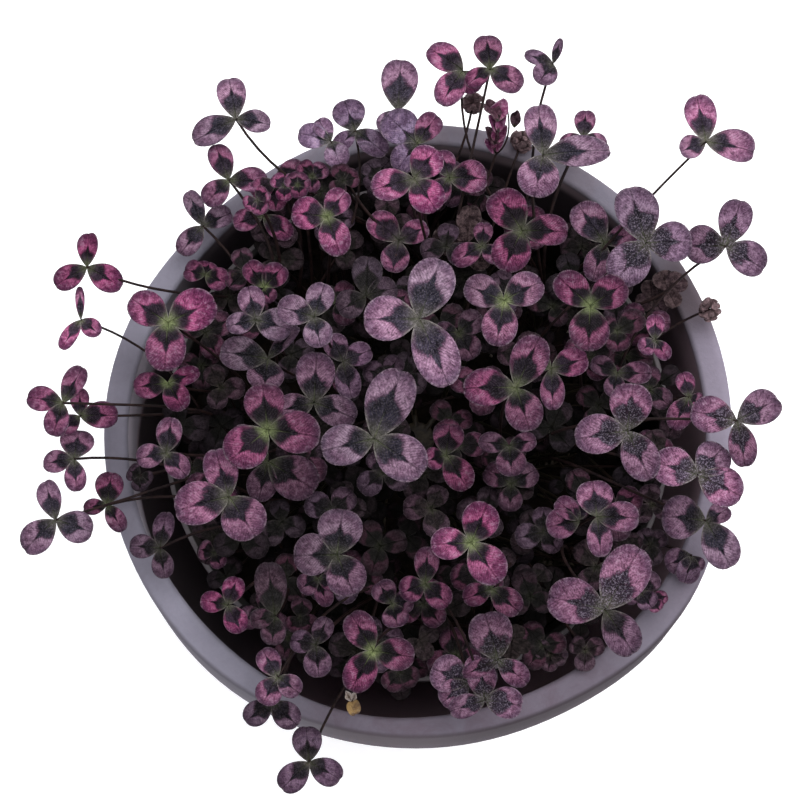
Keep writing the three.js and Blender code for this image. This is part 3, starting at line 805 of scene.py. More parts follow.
def leaf_finish():
    finish = Finish("leaf_face")
    fan = finish.node("ShaderNodeUVMap", {"uv_map": "Fan"})
    blade = finish.node("ShaderNodeUVMap", {"uv_map": "Blade"})
    where = finish.place()
    outward = finish.axis(fan, 0)
    along = finish.axis(blade, 0)
    off = abs(finish.axis(blade, 1) * 2 - 1)
    wedge = along.math("MINIMUM", LEAFLET_WIDEST) * (math.pi / 2 / LEAFLET_WIDEST)
    breadth = wedge.math("SINE") ** LEAFLET_SHOULDER + 0.02
    lateral = (off / breadth).math("MINIMUM", 1.0)

    look = finish.node("ShaderNodeAttribute", {"attribute_name": "look"}, None, out="Color")
    tone = finish.node("ShaderNodeAttribute", {"attribute_name": "tone"}, None, out="Color")
    cast = finish.node("ShaderNodeAttribute", {"attribute_name": "cast"}, None, out="Color")
    pink, reach, frost = (finish.axis(look, i) for i in range(3))
    light, heart, rust = (finish.axis(tone, i) for i in range(3))
    lilac, flank, wear = (finish.axis(cast, i) for i in range(3))

    cloud = finish.grain(where, 240, 5, 0.65, 0.6)
    mottle = finish.grain(where, 560, 4, 0.65, 0.4)
    fleck = finish.grain(where, 1500, 3, 0.7, 0.6)
    vein_line = veins(finish, along, off, 0.16 * finish.grain(where, 260, 3)).ramp(0.5, 0.0)
    midrib = off.ramp(0.06, 0.0)

    hot = finish.mix(pink, colour(154, 128, 147), colour(176, 90, 134))
    border = finish.mix(pink, colour(116, 86, 108), colour(112, 48, 86))
    ring = finish.mix(pink, colour(68, 42, 64), colour(78, 24, 58))
    hot = finish.mix(lilac, hot, colour(138, 124, 162))
    border = finish.mix(lilac, border, colour(104, 90, 122))
    dim_slate = finish.mix(pink, colour(20, 21, 28), colour(23, 17, 25))
    pale_slate = finish.mix(pink, colour(52, 50, 64), colour(60, 43, 61))
    slate = finish.mix(cloud.ramp(0.3, 0.7), dim_slate, pale_slate)
    # painted shade: the blotch is darker on leaflets given little light, and the green heart is made brighter
    # on them so that it still shows
    slate = finish.tint(slate, 0.25 + 0.75 * light.ramp(0.1, 0.9))
    green = finish.mix(cloud, colour(76, 92, 56), colour(138, 146, 100))
    green = finish.tint(green, 1 + light.ramp(0.9, 0.45))
    grey = finish.mix(cloud, colour(54, 49, 52), colour(116, 110, 106))

    # the blotch ends in a jagged front, and the border is hottest just past it
    jag = (cloud - 0.5) * (0.26 + 0.16 * frost) + (mottle - 0.5) * 0.16 + vein_line * 0.012
    spike = off.ramp(0.2, 0.0) * 0.14
    front = reach * (1.04 - 0.5 * lateral ** 1.5) + spike + jag
    past = along - front
    base = finish.mix((past + (cloud - 0.5) * 0.9).ramp(0.05, 0.4), hot, border)
    # painted sheen: pale lilac patches over the border
    base = finish.mix(mottle.ramp(0.5, 0.68) * 0.45, base, colour(160, 136, 154))
    base = finish.mix(mottle.ramp(0.46, 0.34) * 0.4, base, ring)
    base = finish.mix(vein_line * cloud.ramp(0.6, 0.4) * 0.36, base, ring)
    # painted shade: a darker line in the crease of the midrib
    base = finish.mix(midrib * 0.42, base, ring)
    base = finish.mix(past.ramp(0.09, 0.01) * 0.75, base, ring)
    # painted shadow: the border darkens towards the edge, standing in for the shadows the leaflets cast on
    # each other
    margin = outward.ramp(0.8, 0.96) * (0.25 + 0.5 * cloud.ramp(0.4, 0.6))
    base = finish.mix(margin, base, finish.mix(pink, colour(88, 74, 92), colour(84, 50, 76)))
    sides = lateral.ramp(0.6, 0.86) * along.ramp(0.1, 0.3) * flank
    dark = past.ramp(0.045, -0.03) * (1 - 0.9 * sides)
    base = finish.mix(dark, base, slate)
    base = finish.mix(dark * vein_line * mottle * 0.5, base, grey)

    # the end at the joint: greyish, with the green heart on it and pale edges
    near = along + lateral * 0.05 + jag * 0.5
    base = finish.mix(near.ramp(0.36, 0.08) * 0.62, base, grey)
    base = finish.mix(near.ramp(0.27, 0.05) * heart, base, green)
    base = finish.mix(lateral.ramp(0.72, 0.95) * near.ramp(0.42, 0.2) * 0.6, base, colour(148, 142, 136))
    base = finish.mix(midrib * along.ramp(0.5, 0.1) * (0.15 + 0.4 * heart), base, green)

    # frost, a thin pale painted highlight along the edge, and dry or rusty places
    stars = fleck.ramp(0.5, 0.62) * (0.2 + 0.8 * dark)
    base = finish.mix(stars * frost * 0.65, base, colour(146, 132, 150))
    base = finish.mix(fleck.ramp(0.48, 0.38) * frost * 0.4, base, ring)
    # painted highlight: a thin pale line along the edge
    edge_highlight = outward.ramp(0.955, 0.985) * mottle.ramp(0.36, 0.6)
    base = finish.mix(edge_highlight * 0.45, base, colour(160, 142, 154))
    base = finish.mix(mottle.ramp(0.6, 0.74) * wear, base, colour(92, 66, 58))
    dried = finish.mix(mottle.ramp(0.3, 0.7), colour(50, 37, 40), colour(98, 80, 82))
    base = finish.mix(rust, base, finish.mix(edge_highlight * 0.4, dried, colour(120, 112, 108)))

    # painted shade: leaflets given little light are painted darker and greyer, and every leaflet's colours
    # are scaled by its painted light
    shady = finish.mix(mottle, colour(62, 61, 58), colour(106, 103, 97))
    base = finish.mix(light.ramp(0.5, 0.1) * 0.5, base, shady)
    grit = 0.5 + 0.56 * mottle.ramp(0.3, 0.7) + 0.48 * fleck.ramp(0.35, 0.65)
    base = finish.tint(base, light * grit * (0.8 + 0.4 * cloud))

    height = vein_line * -0.4 + midrib * -1.2 + mottle * 1.2 + fleck * 0.4
    normal = finish.bump(height, 0.0005, 0.9)
    rough = 0.42 + 0.2 * cloud
    return finish.close(Base_Color=base, Roughness=rough, Normal=normal, Specular_IOR_Level=0.05)


def stalk_finish():
    finish = Finish("leaf_stalk")
    where = finish.place()
    height = finish.axis(where, 2)
    streaks = finish.grain(where, 220, 4, 0.6, 0.8)
    base = finish.mix(streaks.ramp(0.3, 0.7), colour(18, 11, 14), colour(42, 29, 28))
    base = finish.mix(height.ramp(0.186, 0.155) * 0.25, base, colour(70, 76, 52))
    normal = finish.bump(streaks, 0.0002, 0.4)
    rough = 0.45 + 0.2 * streaks
    return finish.close(Base_Color=base, Roughness=rough, Normal=normal, Specular_IOR_Level=0.08)


leaf_face = leaf_finish()
leaf_stalk = stalk_finish()
for leaflet in (fine_leaflet, small_leaflet):
    coat(leaflet, leaf_face)

# ---- Leaves
# Each leaf is one grown piece: a thin stalk from its joint on a stolon, and three leaflets. The first
# rows follow the solids leaf_01 and on, and the rest are the smaller leaves that grow between them.

CANOPY_RISE = 0.034
CANOPY_RADIUS = 0.128
CANOPY_FLOOR = 0.005
LAYER = 0.0065
STALK_RADIUS = 0.0005
STALK_TAPER = 1.35
STALK_UPRIGHT = {"lean": 0.25, "tilt": 1, "start": 0.45, "end": 0.3, "outward": 0}
STALK_ARCHING = {"lean": 1.15, "tilt": 0.15, "start": 1.05, "end": 0.4, "outward": 0.022}
STALK_ARCH_RADII = (0.088, 0.112)

# For each look: pink, blotch reach, frost; then light, green heart, rust; then lilac, pink flanks, wear.
LOOKS = {
    "vivid": ((0.95, 0.5, 0.05), (1.0, 0.3, 0.0), (0.0, 0.8, 0.1)),
    "green_hearted": ((0.9, 0.48, 0.05), (1.0, 1.0, 0.0), (0.0, 0.7, 0.0)),
    "green_mauve": ((0.35, 0.46, 0.1), (1.0, 1.0, 0.0), (0.0, 0.7, 0.2)),
    "rosy": ((0.7, 0.5, 0.12), (1.0, 0.35, 0.0), (0.0, 0.8, 0.1)),
    "blush": ((0.48, 0.5, 0.15), (1.0, 0.25, 0.0), (0.05, 0.7, 0.1)),
    "mauve": ((0.15, 0.5, 0.25), (1.0, 0.15, 0.0), (0.1, 0.6, 0.1)),
    "lilac": ((0.0, 0.3, 0.2), (1.0, 0.1, 0.0), (0.5, 0.5, 0.0)),
    "dusky": ((0.2, 0.52, 0.2), (1.0, 0.1, 0.1), (0.3, 0.5, 0.3)),
    "frosted": ((0.12, 0.5, 1.0), (1.0, 0.15, 0.0), (0.25, 0.6, 0.1)),
    "speckled": ((0.42, 0.5, 0.9), (1.0, 0.15, 0.0), (0.1, 0.6, 0.1)),
    "plum": ((0.75, 0.6, 0.05), (1.0, 0.15, 0.1), (0.0, 0.5, 0.3)),
    "murky": ((0.3, 0.6, 0.2), (1.0, 0.3, 0.6), (0.1, 0.4, 0.1)),
    "withered": ((0.1, 0.4, 0.1), (1.0, 0.1, 1.2), (0.0, 0.3, 0.3)),
}
# painted light and shade: how brightly each leaf's colours are painted, for the light it gets where it stands
SHADES = {"bright": 1.15, "plain": 0.9, "dim": 0.68, "shaded": 0.46, "deep": 0.28}

# For each leaf: its joint on the plan, the layer it stands in, how far its tips rise in mm, the tip
# and width of each leaflet, then look and shade. A leaflet may end in a look and shade of its own.
LEAVES = [
    # past the rim at the back left
    [236, 119, 3, -2, [229, 78, 31], [193, 142, 31], [271, 125, 25], "mauve", "plain"],
    [229, 180, 2, -1, [215, 144, 25], [268, 182, 28], [205, 205, 27], "blush", "dim"],
    [203, 226, 0, -1, [188, 191, 21], [232, 213, 26], [180, 255, 25], "mauve", "dim"],
    # past the rim on the left
    [87, 267, 2, -2, [89, 233, 23], [55, 286, 26], [122, 288, 28], "vivid", "dim"],
    [81, 320, 1, 1, [80, 286, 10], [100, 335, 20], [61, 350, 17], "rosy", "bright"],
    [63, 403, 4, -2, [27, 397, 27], [83, 367, 25], [53, 437, 27], "rosy", "dim"],
    [80, 416, 2, -1, [119, 416, 29], [62, 432, 22], [80, 388, 20], "rosy", "dim"],
    [74, 459, 1, -2, [43, 464, 24], [77, 492, 23], [80, 430, 35], "blush", "plain"],
    [56, 520, 2, -3, [45, 481, 26], [24, 551, 32], [93, 533, 33], "mauve", "dim"],
    [107, 505, 1, 0, [112, 472, 30], [124, 532, 20], [83, 509, 17], "rosy", "shaded"],
    [160, 548, 1, 0, [129, 546, 25], [165, 579, 23], [167, 511, 22], "dusky", "shaded"],
    # inside the rim on the left
    [168, 323, 3, 2, [130, 298, 37], [216, 301, 45], [165, 373, 42], "green_hearted", "dim"],
    [168, 383, 2, 1, [133, 388, 28], [184, 411, 28], [200, 371, 20], "green_hearted", "shaded"],
    [166, 453, 2.3, 1, [172, 417, 27], [136, 460, 26], [187, 477, 26], "blush", "dim"],
    [268, 430, 5, 2, [262, 383, 43], [321, 438, 46], [228, 462, 46], "green_hearted", "shaded"],
    [229, 497, 4, 1, [174, 512, 47], [256, 538, 47], [215, 448, 36], "blush", "dim"],
    [256, 320, 3, 1, [248, 286, 28], [226, 327, 24], [292, 331, 36], "mauve", "dim"],
    [268, 359, 2, 1, [219, 352, 36], [264, 391, 39], [299, 326, 16], "mauve", "shaded"],
    # the back of the pot
    [327, 217, 4, 1, [291, 213, 36], [346, 191, 28], [341, 257, 33], "green_hearted", "dim"],
    [331, 141, 3, -1, [298, 133, 28], [341, 168, 28], [318, 119, 20], "lilac", "plain"],
    [355, 131, 2, 1, [344, 100, 34], [387, 155, 27], [334, 152, 20], "lilac", "dim"],
    [398, 111, 3, 1, [401, 59, 38], [412, 140, 28], [382, 134, 26], "mauve", "plain"],
    [417, 144, 4, 0, [386, 114, 40], [396, 172, 30], [438, 115, 27, "rosy", "dim"], "lilac", "dim"],
    [414, 179, 5, 2, [371, 191, 34], [437, 149, 36], [437, 212, 36], "vivid", "plain"],
    [463, 71, 3, 1, [428, 48, 31], [440, 106, 31], [476, 93, 26], "rosy", "plain"],
    [490, 69, 4, 1, [486, 35, 30], [466, 86, 20], [522, 89, 29], "rosy", "dim"],
    [553, 64, 4, 3, [524, 54, 16], [561, 38, 10], [538, 84, 26], "dusky", "dim"],
    [543, 155, 4, -1, [538, 105, 36], [534, 198, 46], [611, 150, 34], "mauve", "plain"],
    [522, 231, 5, 1, [494, 192, 42], [569, 233, 34], [502, 272, 40], "vivid", "shaded"],
    # past the rim at the back right
    [706, 142, 4, -2, [696, 95, 33], [680, 152, 26], [755, 153, 36], "blush", "bright"],
    [726, 246, 3, -2, [741, 199, 34], [764, 270, 39], [685, 247, 44], "frosted", "dim"],
    [646, 243, 4, 0, [629, 187, 46], [693, 243, 42], [614, 284, 45], "frosted", "dim"],
    # the middle
    [419, 319, 5, 1, [441, 259, 48], [363, 320, 48], [449, 388, 47], "mauve", "plain"],
    [314, 317, 5, 1, [325, 283, 29], [276, 307, 32], [321, 348, 31], "mauve", "dim"],
    [314, 403, 3, 1, [317, 351, 40], [276, 412, 30], [357, 420, 34], "mauve", "shaded"],
    [374, 439, 4, 1, [403, 369, 50], [321, 452, 44], [424, 474, 48], "mauve", "dim"],
    [504, 301, 4, 2, [464, 285, 35], [543, 281, 36], [496, 347, 37], "green_mauve", "dim"],
    [590, 306, 5, 2, [556, 276, 36], [626, 283, 37], [588, 352, 42], "green_hearted", "shaded"],
    [516, 388, 5, 2, [462, 389, 39], [540, 336, 39], [530, 432, 39], "rosy", "shaded"],
    [627, 431, 4, 1, [633, 383, 44], [574, 440, 43], [650, 481, 39], "speckled", "dim"],
    # the front left
    [337, 555, 4, 1, [343, 508, 46], [293, 556, 45], [354, 596, 42], "mauve", "shaded"],
    [373, 651, 4, 1, [350, 613, 35], [415, 658, 35], [350, 692, 35], "green_hearted", "shaded"],
    [278, 677, 2, 0, [262, 649, 26], [262, 705, 28], [300, 694, 26], "blush", "dim"],
    [309, 762, 1, -2, [306, 726, 31], [281, 790, 29], [341, 780, 29], "dusky", "shaded"],
    # the front
    [471, 543, 4, 2, [488, 503, 39], [430, 545, 34], [500, 583, 40], "green_hearted", "dim"],
    [485, 700, 2, 0, [479, 662, 32], [449, 712, 26], [523, 706, 34], "speckled", "dim"],
    [498, 660, 4, 1, [484, 612, 46], [528, 684, 26], [462, 676, 20], "speckled", "shaded"],
    # the front right
    [605, 610, 4, 0, [547, 597, 50], [640, 547, 50], [634, 655, 39, "dusky", "shaded"], "speckled", "dim"],
    [597, 517, 3, 1, [592, 480, 38], [640, 519, 33], [601, 558, 27], "blush", "dim"],
    [698, 475, 4, 0, [651, 462, 41], [724, 447, 38], [742, 497, 41], "speckled", "plain"],
    [706, 521, 2, -1, [661, 516, 45], [731, 568, 39], [729, 508, 24], "mauve", "dim"],
    [737, 421, 6, -1, [690, 411, 38], [779, 399, 37], [745, 468, 31], "speckled", "dim"],
]

LOWER_LEAVES = [
    # the back
    [321, 192, 1, 0, [300, 172, 24], [348, 172, 26], [318, 220, 22], "plum", "deep"],
    [275, 182, 1, 0, [305, 166, 26], [276, 212, 24], [252, 196, 24], "plum", "dim"],
    [263, 216, 0, 0, [233, 225, 24], [292, 238, 24], [262, 190, 20], "rosy", "dim"],
    [257, 200, 3, 0, [244, 207, 18], [268, 191, 20], [262, 215, 18], "plum", "dim"],
    [298, 185, 3, 0, [287, 176, 19], [309, 178, 19], [300, 199, 18], "rosy", "shaded"],
    [312, 177, 2, 0, [299, 163, 20], [327, 166, 20], [312, 193, 18], "rosy", "shaded"],
    [343, 181, 2, 0, [338, 164, 20], [359, 177, 22], [334, 195, 20], "plum", "deep"],
    [285, 186, 2, 0, [272, 177, 18], [297, 179, 18], [284, 202, 18], "vivid", "plain"],
    [378, 176, 1, 0, [366, 162, 22], [394, 186, 20], [368, 190, 20], "dusky", "deep"],
    [449, 178, 1, 0, [488, 180, 36], [430, 205, 26], [440, 150, 24], "rosy", "dim"],
    [583, 137, 1, 0, [586, 110, 22], [560, 150, 22], [606, 150, 22], "blush", "plain"],
    [604, 243, 1, 0, [577, 204, 38], [592, 282, 28], [638, 232, 24], "blush", "dim"],
    [399, 241, -1, 0, [370, 216, 32], [392, 273, 30], [428, 226, 26], "plum", "plain"],
    [467, 243, -1, 0, [431, 240, 33], [470, 205, 26], [486, 270, 26], "withered", "dim"],
    [482, 246, 0, 0, [453, 264, 26], [484, 222, 20], [500, 262, 20], "rosy", "dim"],
    # the left
    [264, 288, 1, 0, [247, 262, 24], [284, 266, 28], [272, 303, 20], "green_hearted", "shaded"],
    [205, 275, 0, 0, [228, 284, 26], [210, 262, 22], [184, 270, 24], "vivid", "shaded"],
    [268, 462, 1, 0, [316, 491, 46], [258, 502, 32], [231, 430, 34], "blush", "shaded"],
    [318, 578, 1, 0, [299, 590, 24], [328, 607, 20], [340, 585, 20], "blush", "shaded"],
    [140, 476, -1, 0, [128, 470, 20], [152, 482, 18], [140, 492, 18], "dusky", "deep"],
    [214, 553, -1, 0, [199, 549, 22], [222, 568, 18], [230, 544, 18], "plum", "shaded"],
    # the middle
    [366, 296, 0, 0, [368, 256, 32], [338, 312, 32], [398, 288, 28], "dusky", "deep"],
    [343, 362, 0, 0, [352, 400, 28], [330, 334, 26], [372, 350, 26], "dusky", "dim"],
    [551, 369, 1, 0, [588, 358, 32], [553, 411, 26], [524, 352, 26], "rosy", "dim"],
    [509, 446, 1, 0, [478, 441, 22], [537, 440, 20], [512, 477, 33], "blush", "shaded"],
    [446, 455, 1, 0, [450, 424, 34], [468, 490, 31], [425, 462, 24], "vivid", "shaded"],
    [580, 520, 1, 0, [546, 528, 34], [556, 500, 24], [580, 500, 20], "blush", "dim"],
    [425, 584, 1, 0, [400, 594, 28], [449, 606, 28], [428, 546, 26], "rosy", "shaded"],
    [491, 589, 1, 0, [463, 600, 26], [520, 613, 30], [486, 565, 22], "rosy", "shaded"],
    [392, 604, 0, 0, [378, 582, 28], [398, 628, 28], [414, 600, 24], "blush", "shaded"],
    [345, 505, -2, 0, [340, 482, 26], [328, 516, 22], [366, 512, 22], "murky", "deep"],
    [513, 488, -2, 0, [503, 506, 26], [534, 491, 24], [520, 468, 22], "murky", "deep"],
    [536, 580, -2, 0, [526, 596, 26], [547, 568, 24], [514, 570, 20], "murky", "deep"],
    # the right
    [617, 331, 1, 0, [644, 315, 26], [618, 352, 26], [600, 322, 22], "rosy", "deep"],
    [617, 373, 0, 0, [652, 374, 24], [590, 362, 22], [612, 398, 22], "blush", "shaded"],
    [655, 340, 0, 0, [668, 360, 18], [640, 352, 20], [655, 314, 20], "rosy", "plain"],
    [689, 397, 0, 0, [682, 372, 20], [672, 430, 28], [700, 405, 20], "rosy", "dim"],
    [692, 556, -1, 0, [665, 566, 28], [684, 584, 26], [700, 572, 18], "dusky", "dim"],
    [640, 592, 0, 0, [652, 570, 30], [652, 608, 24], [622, 598, 22], "dusky", "shaded"],
    [651, 600, -1, 0, [660, 611, 17], [641, 588, 18], [668, 596, 15], "plum", "dim"],
    [668, 291, 0, 0, [660, 271, 24], [684, 276, 24], [676, 308, 20], "withered", "dim"],
    [652, 300, -1, 0, [650, 280, 22], [664, 314, 22], [636, 306, 20], "withered", "shaded"],
    [652, 452, -2, 0, [640, 432, 22], [674, 448, 22], [652, 476, 24], "plum", "shaded"],
    [652, 505, -2, 0, [648, 484, 22], [670, 514, 22], [636, 520, 20], "murky", "shaded"],
    [650, 545, -2, 0, [666, 534, 20], [640, 530, 20], [654, 566, 22], "dusky", "deep"],
    [628, 548, -2, 0, [614, 540, 20], [638, 560, 20], [640, 536, 18], "murky", "deep"],
    # the front
    [228, 605, 1, 0, [238, 577, 24], [200, 600, 22], [242, 633, 25], "vivid", "dim"],
    [275, 616, 2, 0, [268, 561, 34], [250, 622, 22], [272, 646, 26], "blush", "deep"],
    [316, 645, 1, 0, [290, 640, 25], [328, 617, 22], [319, 678, 30], "dusky", "shaded"],
    [300, 618, 0, 0, [303, 598, 22], [288, 630, 20], [316, 628, 20], "plum", "deep"],
    [272, 702, 0, 0, [245, 722, 26], [298, 726, 28], [268, 680, 20], "dusky", "shaded"],
    # the front right
    [468, 682, 1, 0, [431, 668, 40], [441, 704, 30], [480, 656, 22], "speckled", "plain"],
    [551, 654, -2, 0, [534, 646, 20], [567, 660, 20], [548, 672, 18], "murky", "shaded"],
    [512, 642, -1, 0, [520, 625, 18], [510, 660, 20], [530, 650, 16], "withered", "deep"],
    [585, 650, -2, 0, [570, 642, 20], [604, 644, 20], [584, 672, 22], "murky", "shaded"],
    [420, 640, -1, 0, [436, 628, 22], [408, 652, 20], [428, 660, 20], "withered", "deep"],
    [400, 672, -1, 0, [386, 690, 24], [418, 682, 24], [402, 652, 20], "plum", "deep"],
]


def on_sight(u, v, height):
    """The point at a height that is seen at a place on the plan."""
    ray = ahead * PLAN_UNITS_PER_RADIAN + plan_up * (PLAN_WIDTH / 2 - v)
    ray.x += u - PLAN_WIDTH / 2
    return eye + ray * ((height - eye.z) / ray.z)


def dome_height(place):
    """The canopy is a low dome over the rim."""
    spread = min(1, place.length / CANOPY_RADIUS)
    return RIM_HEIGHT + CANOPY_FLOOR + CANOPY_RISE * (1 - spread * spread)


def leaf_joint(u, v, layer):
    """The height of a leaf's joint on the plan, its point, and what a unit of the plan measures there."""
    height = dome_height(on_sight(u, v, RIM_HEIGHT).xy) + layer * LAYER
    hub = on_sight(u, v, height)
    return height, hub, plan_unit(hub)


def plan_unit(point):
    return (point - eye).dot(ahead) / PLAN_UNITS_PER_RADIAN


def stalk_handles(foot, hub):
    """The two handles of the stalk's curve. A leaf past the rim has a stalk that arches over it."""
    low, high = STALK_ARCH_RADII
    share = min(1, max(0, (math.hypot(hub.x, hub.y) - low) / (high - low)))
    arch = share * share * (3 - 2 * share)
    way = {key: upright + (STALK_ARCHING[key] - upright) * arch for key, upright in STALK_UPRIGHT.items()}
    rise = hub.z - foot.z
    lean = Vector((hub.x, hub.y, 0)).normalized() * way["lean"]
    lean.z = way["tilt"]
    lean.normalize()
    start = foot + Vector((0, 0, rise * way["start"]))
    return start, hub - lean * (way["end"] * rise + way["outward"])


def leaflet_like(template, hub, tip, width, look, shape):
    """A copy of a leaflet, folded along its midrib, bent along its length and set between two points."""
    fold, bend, ripple, phase = shape
    leaflet = template.copy()
    leaflet.data = template.data.copy()
    scene.collection.objects.link(leaflet)
    reach = tip - hub
    length = reach.length
    along = reach.normalized()
    across = Vector((0, 0, 1)).cross(along).normalized()
    facing = along.cross(across)
    count = len(leaflet.data.vertices)
    spots = np.empty(count * 3)
    leaflet.data.vertices.foreach_get("co", spots)
    x, y, z = spots.reshape(-1, 3).T
    sideways = y * width / 2
    lift = z + np.abs(sideways) * math.sin(fold)
    lift += ripple * length * (0.3 + np.abs(y)) * x * np.sin(x * 5.2 + np.sign(y) * 1.7 + phase)
    turn = bend * (x - 0.5)
    if abs(bend) > 1e-4:
        forward = length * (np.sin(turn) + math.sin(bend / 2)) / bend
        upward = length * (np.cos(turn) - math.cos(bend / 2)) / bend
    else:
        forward = length * x
        upward = 0 * x
    forward = forward + lift * np.sin(turn)
    upward = upward + lift * np.cos(turn)
    sideways = sideways * math.cos(fold)
    placed = np.outer(forward, along) + np.outer(sideways, across) + np.outer(upward, facing) + np.array(hub)
    leaflet.data.vertices.foreach_set("co", placed.ravel())
    for name, values in zip(("look", "tone", "cast"), look):
        shares = leaflet.data.attributes.new(name, "FLOAT_COLOR", "POINT")
        shares.data.foreach_set("color", np.tile((*values, 1.0), count))
    return leaflet


def thin_stem(name, foot, top, radii, handles):
    stem = stem_tube(name, (foot, top), radii, 1, handles)
    coat(stem, leaf_stalk)
    return stem


def build_leaf(name, foot, hub, parts, stalk_radius=STALK_RADIUS):
    """Joins the parts of a leaf to a stalk that stands at its foot."""
    radii = (stalk_radius * STALK_TAPER, stalk_radius)
    stalk = thin_stem(name, foot, hub, radii, stalk_handles(foot, hub))
    leaf = join([stalk, *parts])
    leaf.name = name
    bpy.ops.object.shade_smooth()
    return leaf


def set_out(row, template, luck):
    """Turns a row of the plan into the leaf's joint and its three leaflets."""
    u, v, layer, lift, *tips, style, shade = row
    height, hub, unit = leaf_joint(u, v, layer)
    made = []
    for tip_u, tip_v, width, *own in tips:
        kind, dimness = own or (style, shade)
        tip = on_sight(tip_u, tip_v, height + lift / 1000)
        look = vary(LOOKS[kind], luck, SHADES[dimness])
        shape = [luck.uniform(*span) for span in ((0.1, 0.4), (0.1, 0.75), (0.015, 0.06), (0, math.tau))]
        made.append(leaflet_like(template, hub, tip, width * unit, look, shape))
    return hub, made


def vary(look, luck, brightness):
    """A leaflet's own colours, a little off the look of its kind."""
    (pink, reach, frost), (light, heart, rust), (lilac, flank, wear) = look
    pink = min(1, max(0, pink + luck.uniform(-0.18, 0.18)))
    reach *= luck.uniform(0.82, 1.15)
    frost *= luck.uniform(0.7, 1)
    light *= brightness * luck.uniform(0.86, 1.12)
    heart *= luck.uniform(0.6, 1)
    rust = min(1, rust * luck.uniform(0.6, 1))
    lilac *= luck.uniform(0.4, 1.2)
    flank = min(1, flank * luck.uniform(0.5, 1.4))
    wear *= luck.uniform(0, 2)
    return (pink, reach, frost), (light, heart, rust), (lilac, flank, wear)


def foot_of(node):
    """The middle of the lowest end of a leaf's solid, where its stalk stands on a stolon."""
    points = [node.matrix_world @ point.co for point in node.data.vertices]
    low = min(point.z for point in points)
    ring = [point for point in points if point.z < low + 1e-4]
    return sum(ring, Vector()) / len(ring)


leaf_luck = random.Random(5)
taken_feet = []
for number, row in enumerate(LEAVES, 1):
    node_name = f"leaf_{number:02d}"
    foot = foot_of(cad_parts[node_name])
    taken_feet.append(foot)
    hub, leaflets = set_out(row, fine_leaflet, leaf_luck)
    leaf = build_leaf(f"clover_leaf_{number:02d}", foot, hub, leaflets)
    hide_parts(node_name)
    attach(leaf, "root")

# ---- Lower leaves
# Smaller leaves of the same plant stand between and below the large ones. They are joined by stolon,
# as they grow, so that each stolon's smaller leaves make one piece.

FOOT_SPAN = (STOLON_CROWN + 0.002, STOLON_REACH - 0.001)
FOOT_PITCH = JOINT_PITCH / 6
FOOT_ROOM = 0.0016
LOWER_STALK_RADIUS = 0.0006
# a stalk's foot stands this share of its leaf's distance from the axis
LOWER_LEAN = 0.85


def free_joints():
    """Places on the stolons that no leaf of the upper layer stands on, as (stolon, point)."""
    joints = []
    for i in range(STOLONS):
        radius, end = FOOT_SPAN
        while radius < end:
            point = stolon_point(i, radius)
            point.z += STOLON_RADIUS * 0.5
            if all((point - foot).xy.length > FOOT_ROOM for foot in taken_feet):
                joints.append((i, point))
            radius += FOOT_PITCH
    return joints


def nearest_joint(hub, joints, lean=LOWER_LEAN):
    """Takes the free joint that is nearest to a place below a leaf."""
    target = hub.xy * lean
    chosen = min(joints, key=lambda joint: (joint[1].xy - target).length)
    joints.remove(chosen)
    return chosen


joints = free_joints()
stolon_leaves = {i: [] for i in range(STOLONS)}
for row in LOWER_LEAVES:
    hub, leaflets = set_out(row, fine_leaflet, leaf_luck)
    stolon, foot = nearest_joint(hub, joints)
    stolon_leaves[stolon].append(build_leaf("lower_leaf", foot, hub, leaflets, LOWER_STALK_RADIUS))

# ---- Undergrowth
# The oldest and smallest leaves stay in the shade under the canopy, layer below layer down to the
# soil, and no two of one layer touch. Their colours are painted darker from layer to layer, as painted shade.

UNDERGROWTH = [
    # depth under the canopy, leaflet length, least distance, most leaves, light, looks
    (0.0065, 0.0105, 0.0205, 52, 0.36, ("dusky", "plum", "blush", "rosy", "murky")),
    (0.0135, 0.0100, 0.0195, 58, 0.24, ("murky", "dusky", "plum", "rosy")),
    (0.0210, 0.0090, 0.0175, 60, 0.14, ("murky", "plum", "dusky", "withered")),
    (0.0310, 0.0075, 0.0150, 60, 0.10, ("murky", "dusky", "plum")),
    (0.0450, 0.0060, 0.0130, 40, 0.06, ("murky", "withered")),
]
UNDERGROWTH_MIDDLE = Vector((0.009, -0.002))
UNDERGROWTH_RADIUS = 0.1
UNDERGROWTH_TRIES = 900
UNDERGROWTH_STALK_RADIUS = 0.0004
ABOVE_SOIL = 0.007
DARK_GAPS = [
    # middle and reach on the plan
    (559, 408, 36), (544, 338, 28), (200, 427, 34), (259, 545, 22), (563, 263, 22),
    (361, 485, 24), (398, 538, 32), (529, 599, 28), (655, 554, 18), (344, 220, 14), (455, 392, 14),
]
GAP_SHADE = 0.35


def clear_of_pots(place, height, size):
    """Whether a leaf stays inside the nursery pot, or inside the planter when it is higher."""
    wall = nursery_wall(height) - 0.004 if height < NURSERY_RIM + 0.002 else PLANTER_RIM - 0.012
    return place.length + size < wall


def shaded_places(depth, size, distance, most, luck):
    """Spots for one layer of leaves, spread over the pot with a least distance between them."""
    places = []
    for _ in range(UNDERGROWTH_TRIES):
        radius = UNDERGROWTH_RADIUS * math.sqrt(luck.random())
        turn = luck.random() * math.tau
        place = UNDERGROWTH_MIDDLE + Vector((radius * math.cos(turn), radius * math.sin(turn)))
        height = max(dome_height(place) - depth, SOIL_TOP + ABOVE_SOIL)
        apart = all((place - other.xy).length > distance for other in places)
        if apart and clear_of_pots(place, height, size) and len(places) < most:
            places.append(place.to_3d() + Vector((0, 0, height)))
    return places


def gap_shade(hub):
    """The share of light that a leaf keeps: less in a dark gap between the upper leaves."""
    unit = plan_unit(hub)
    in_gap = any((on_sight(u, v, hub.z) - hub).length < reach * unit for u, v, reach in DARK_GAPS)
    return GAP_SHADE if in_gap else 1


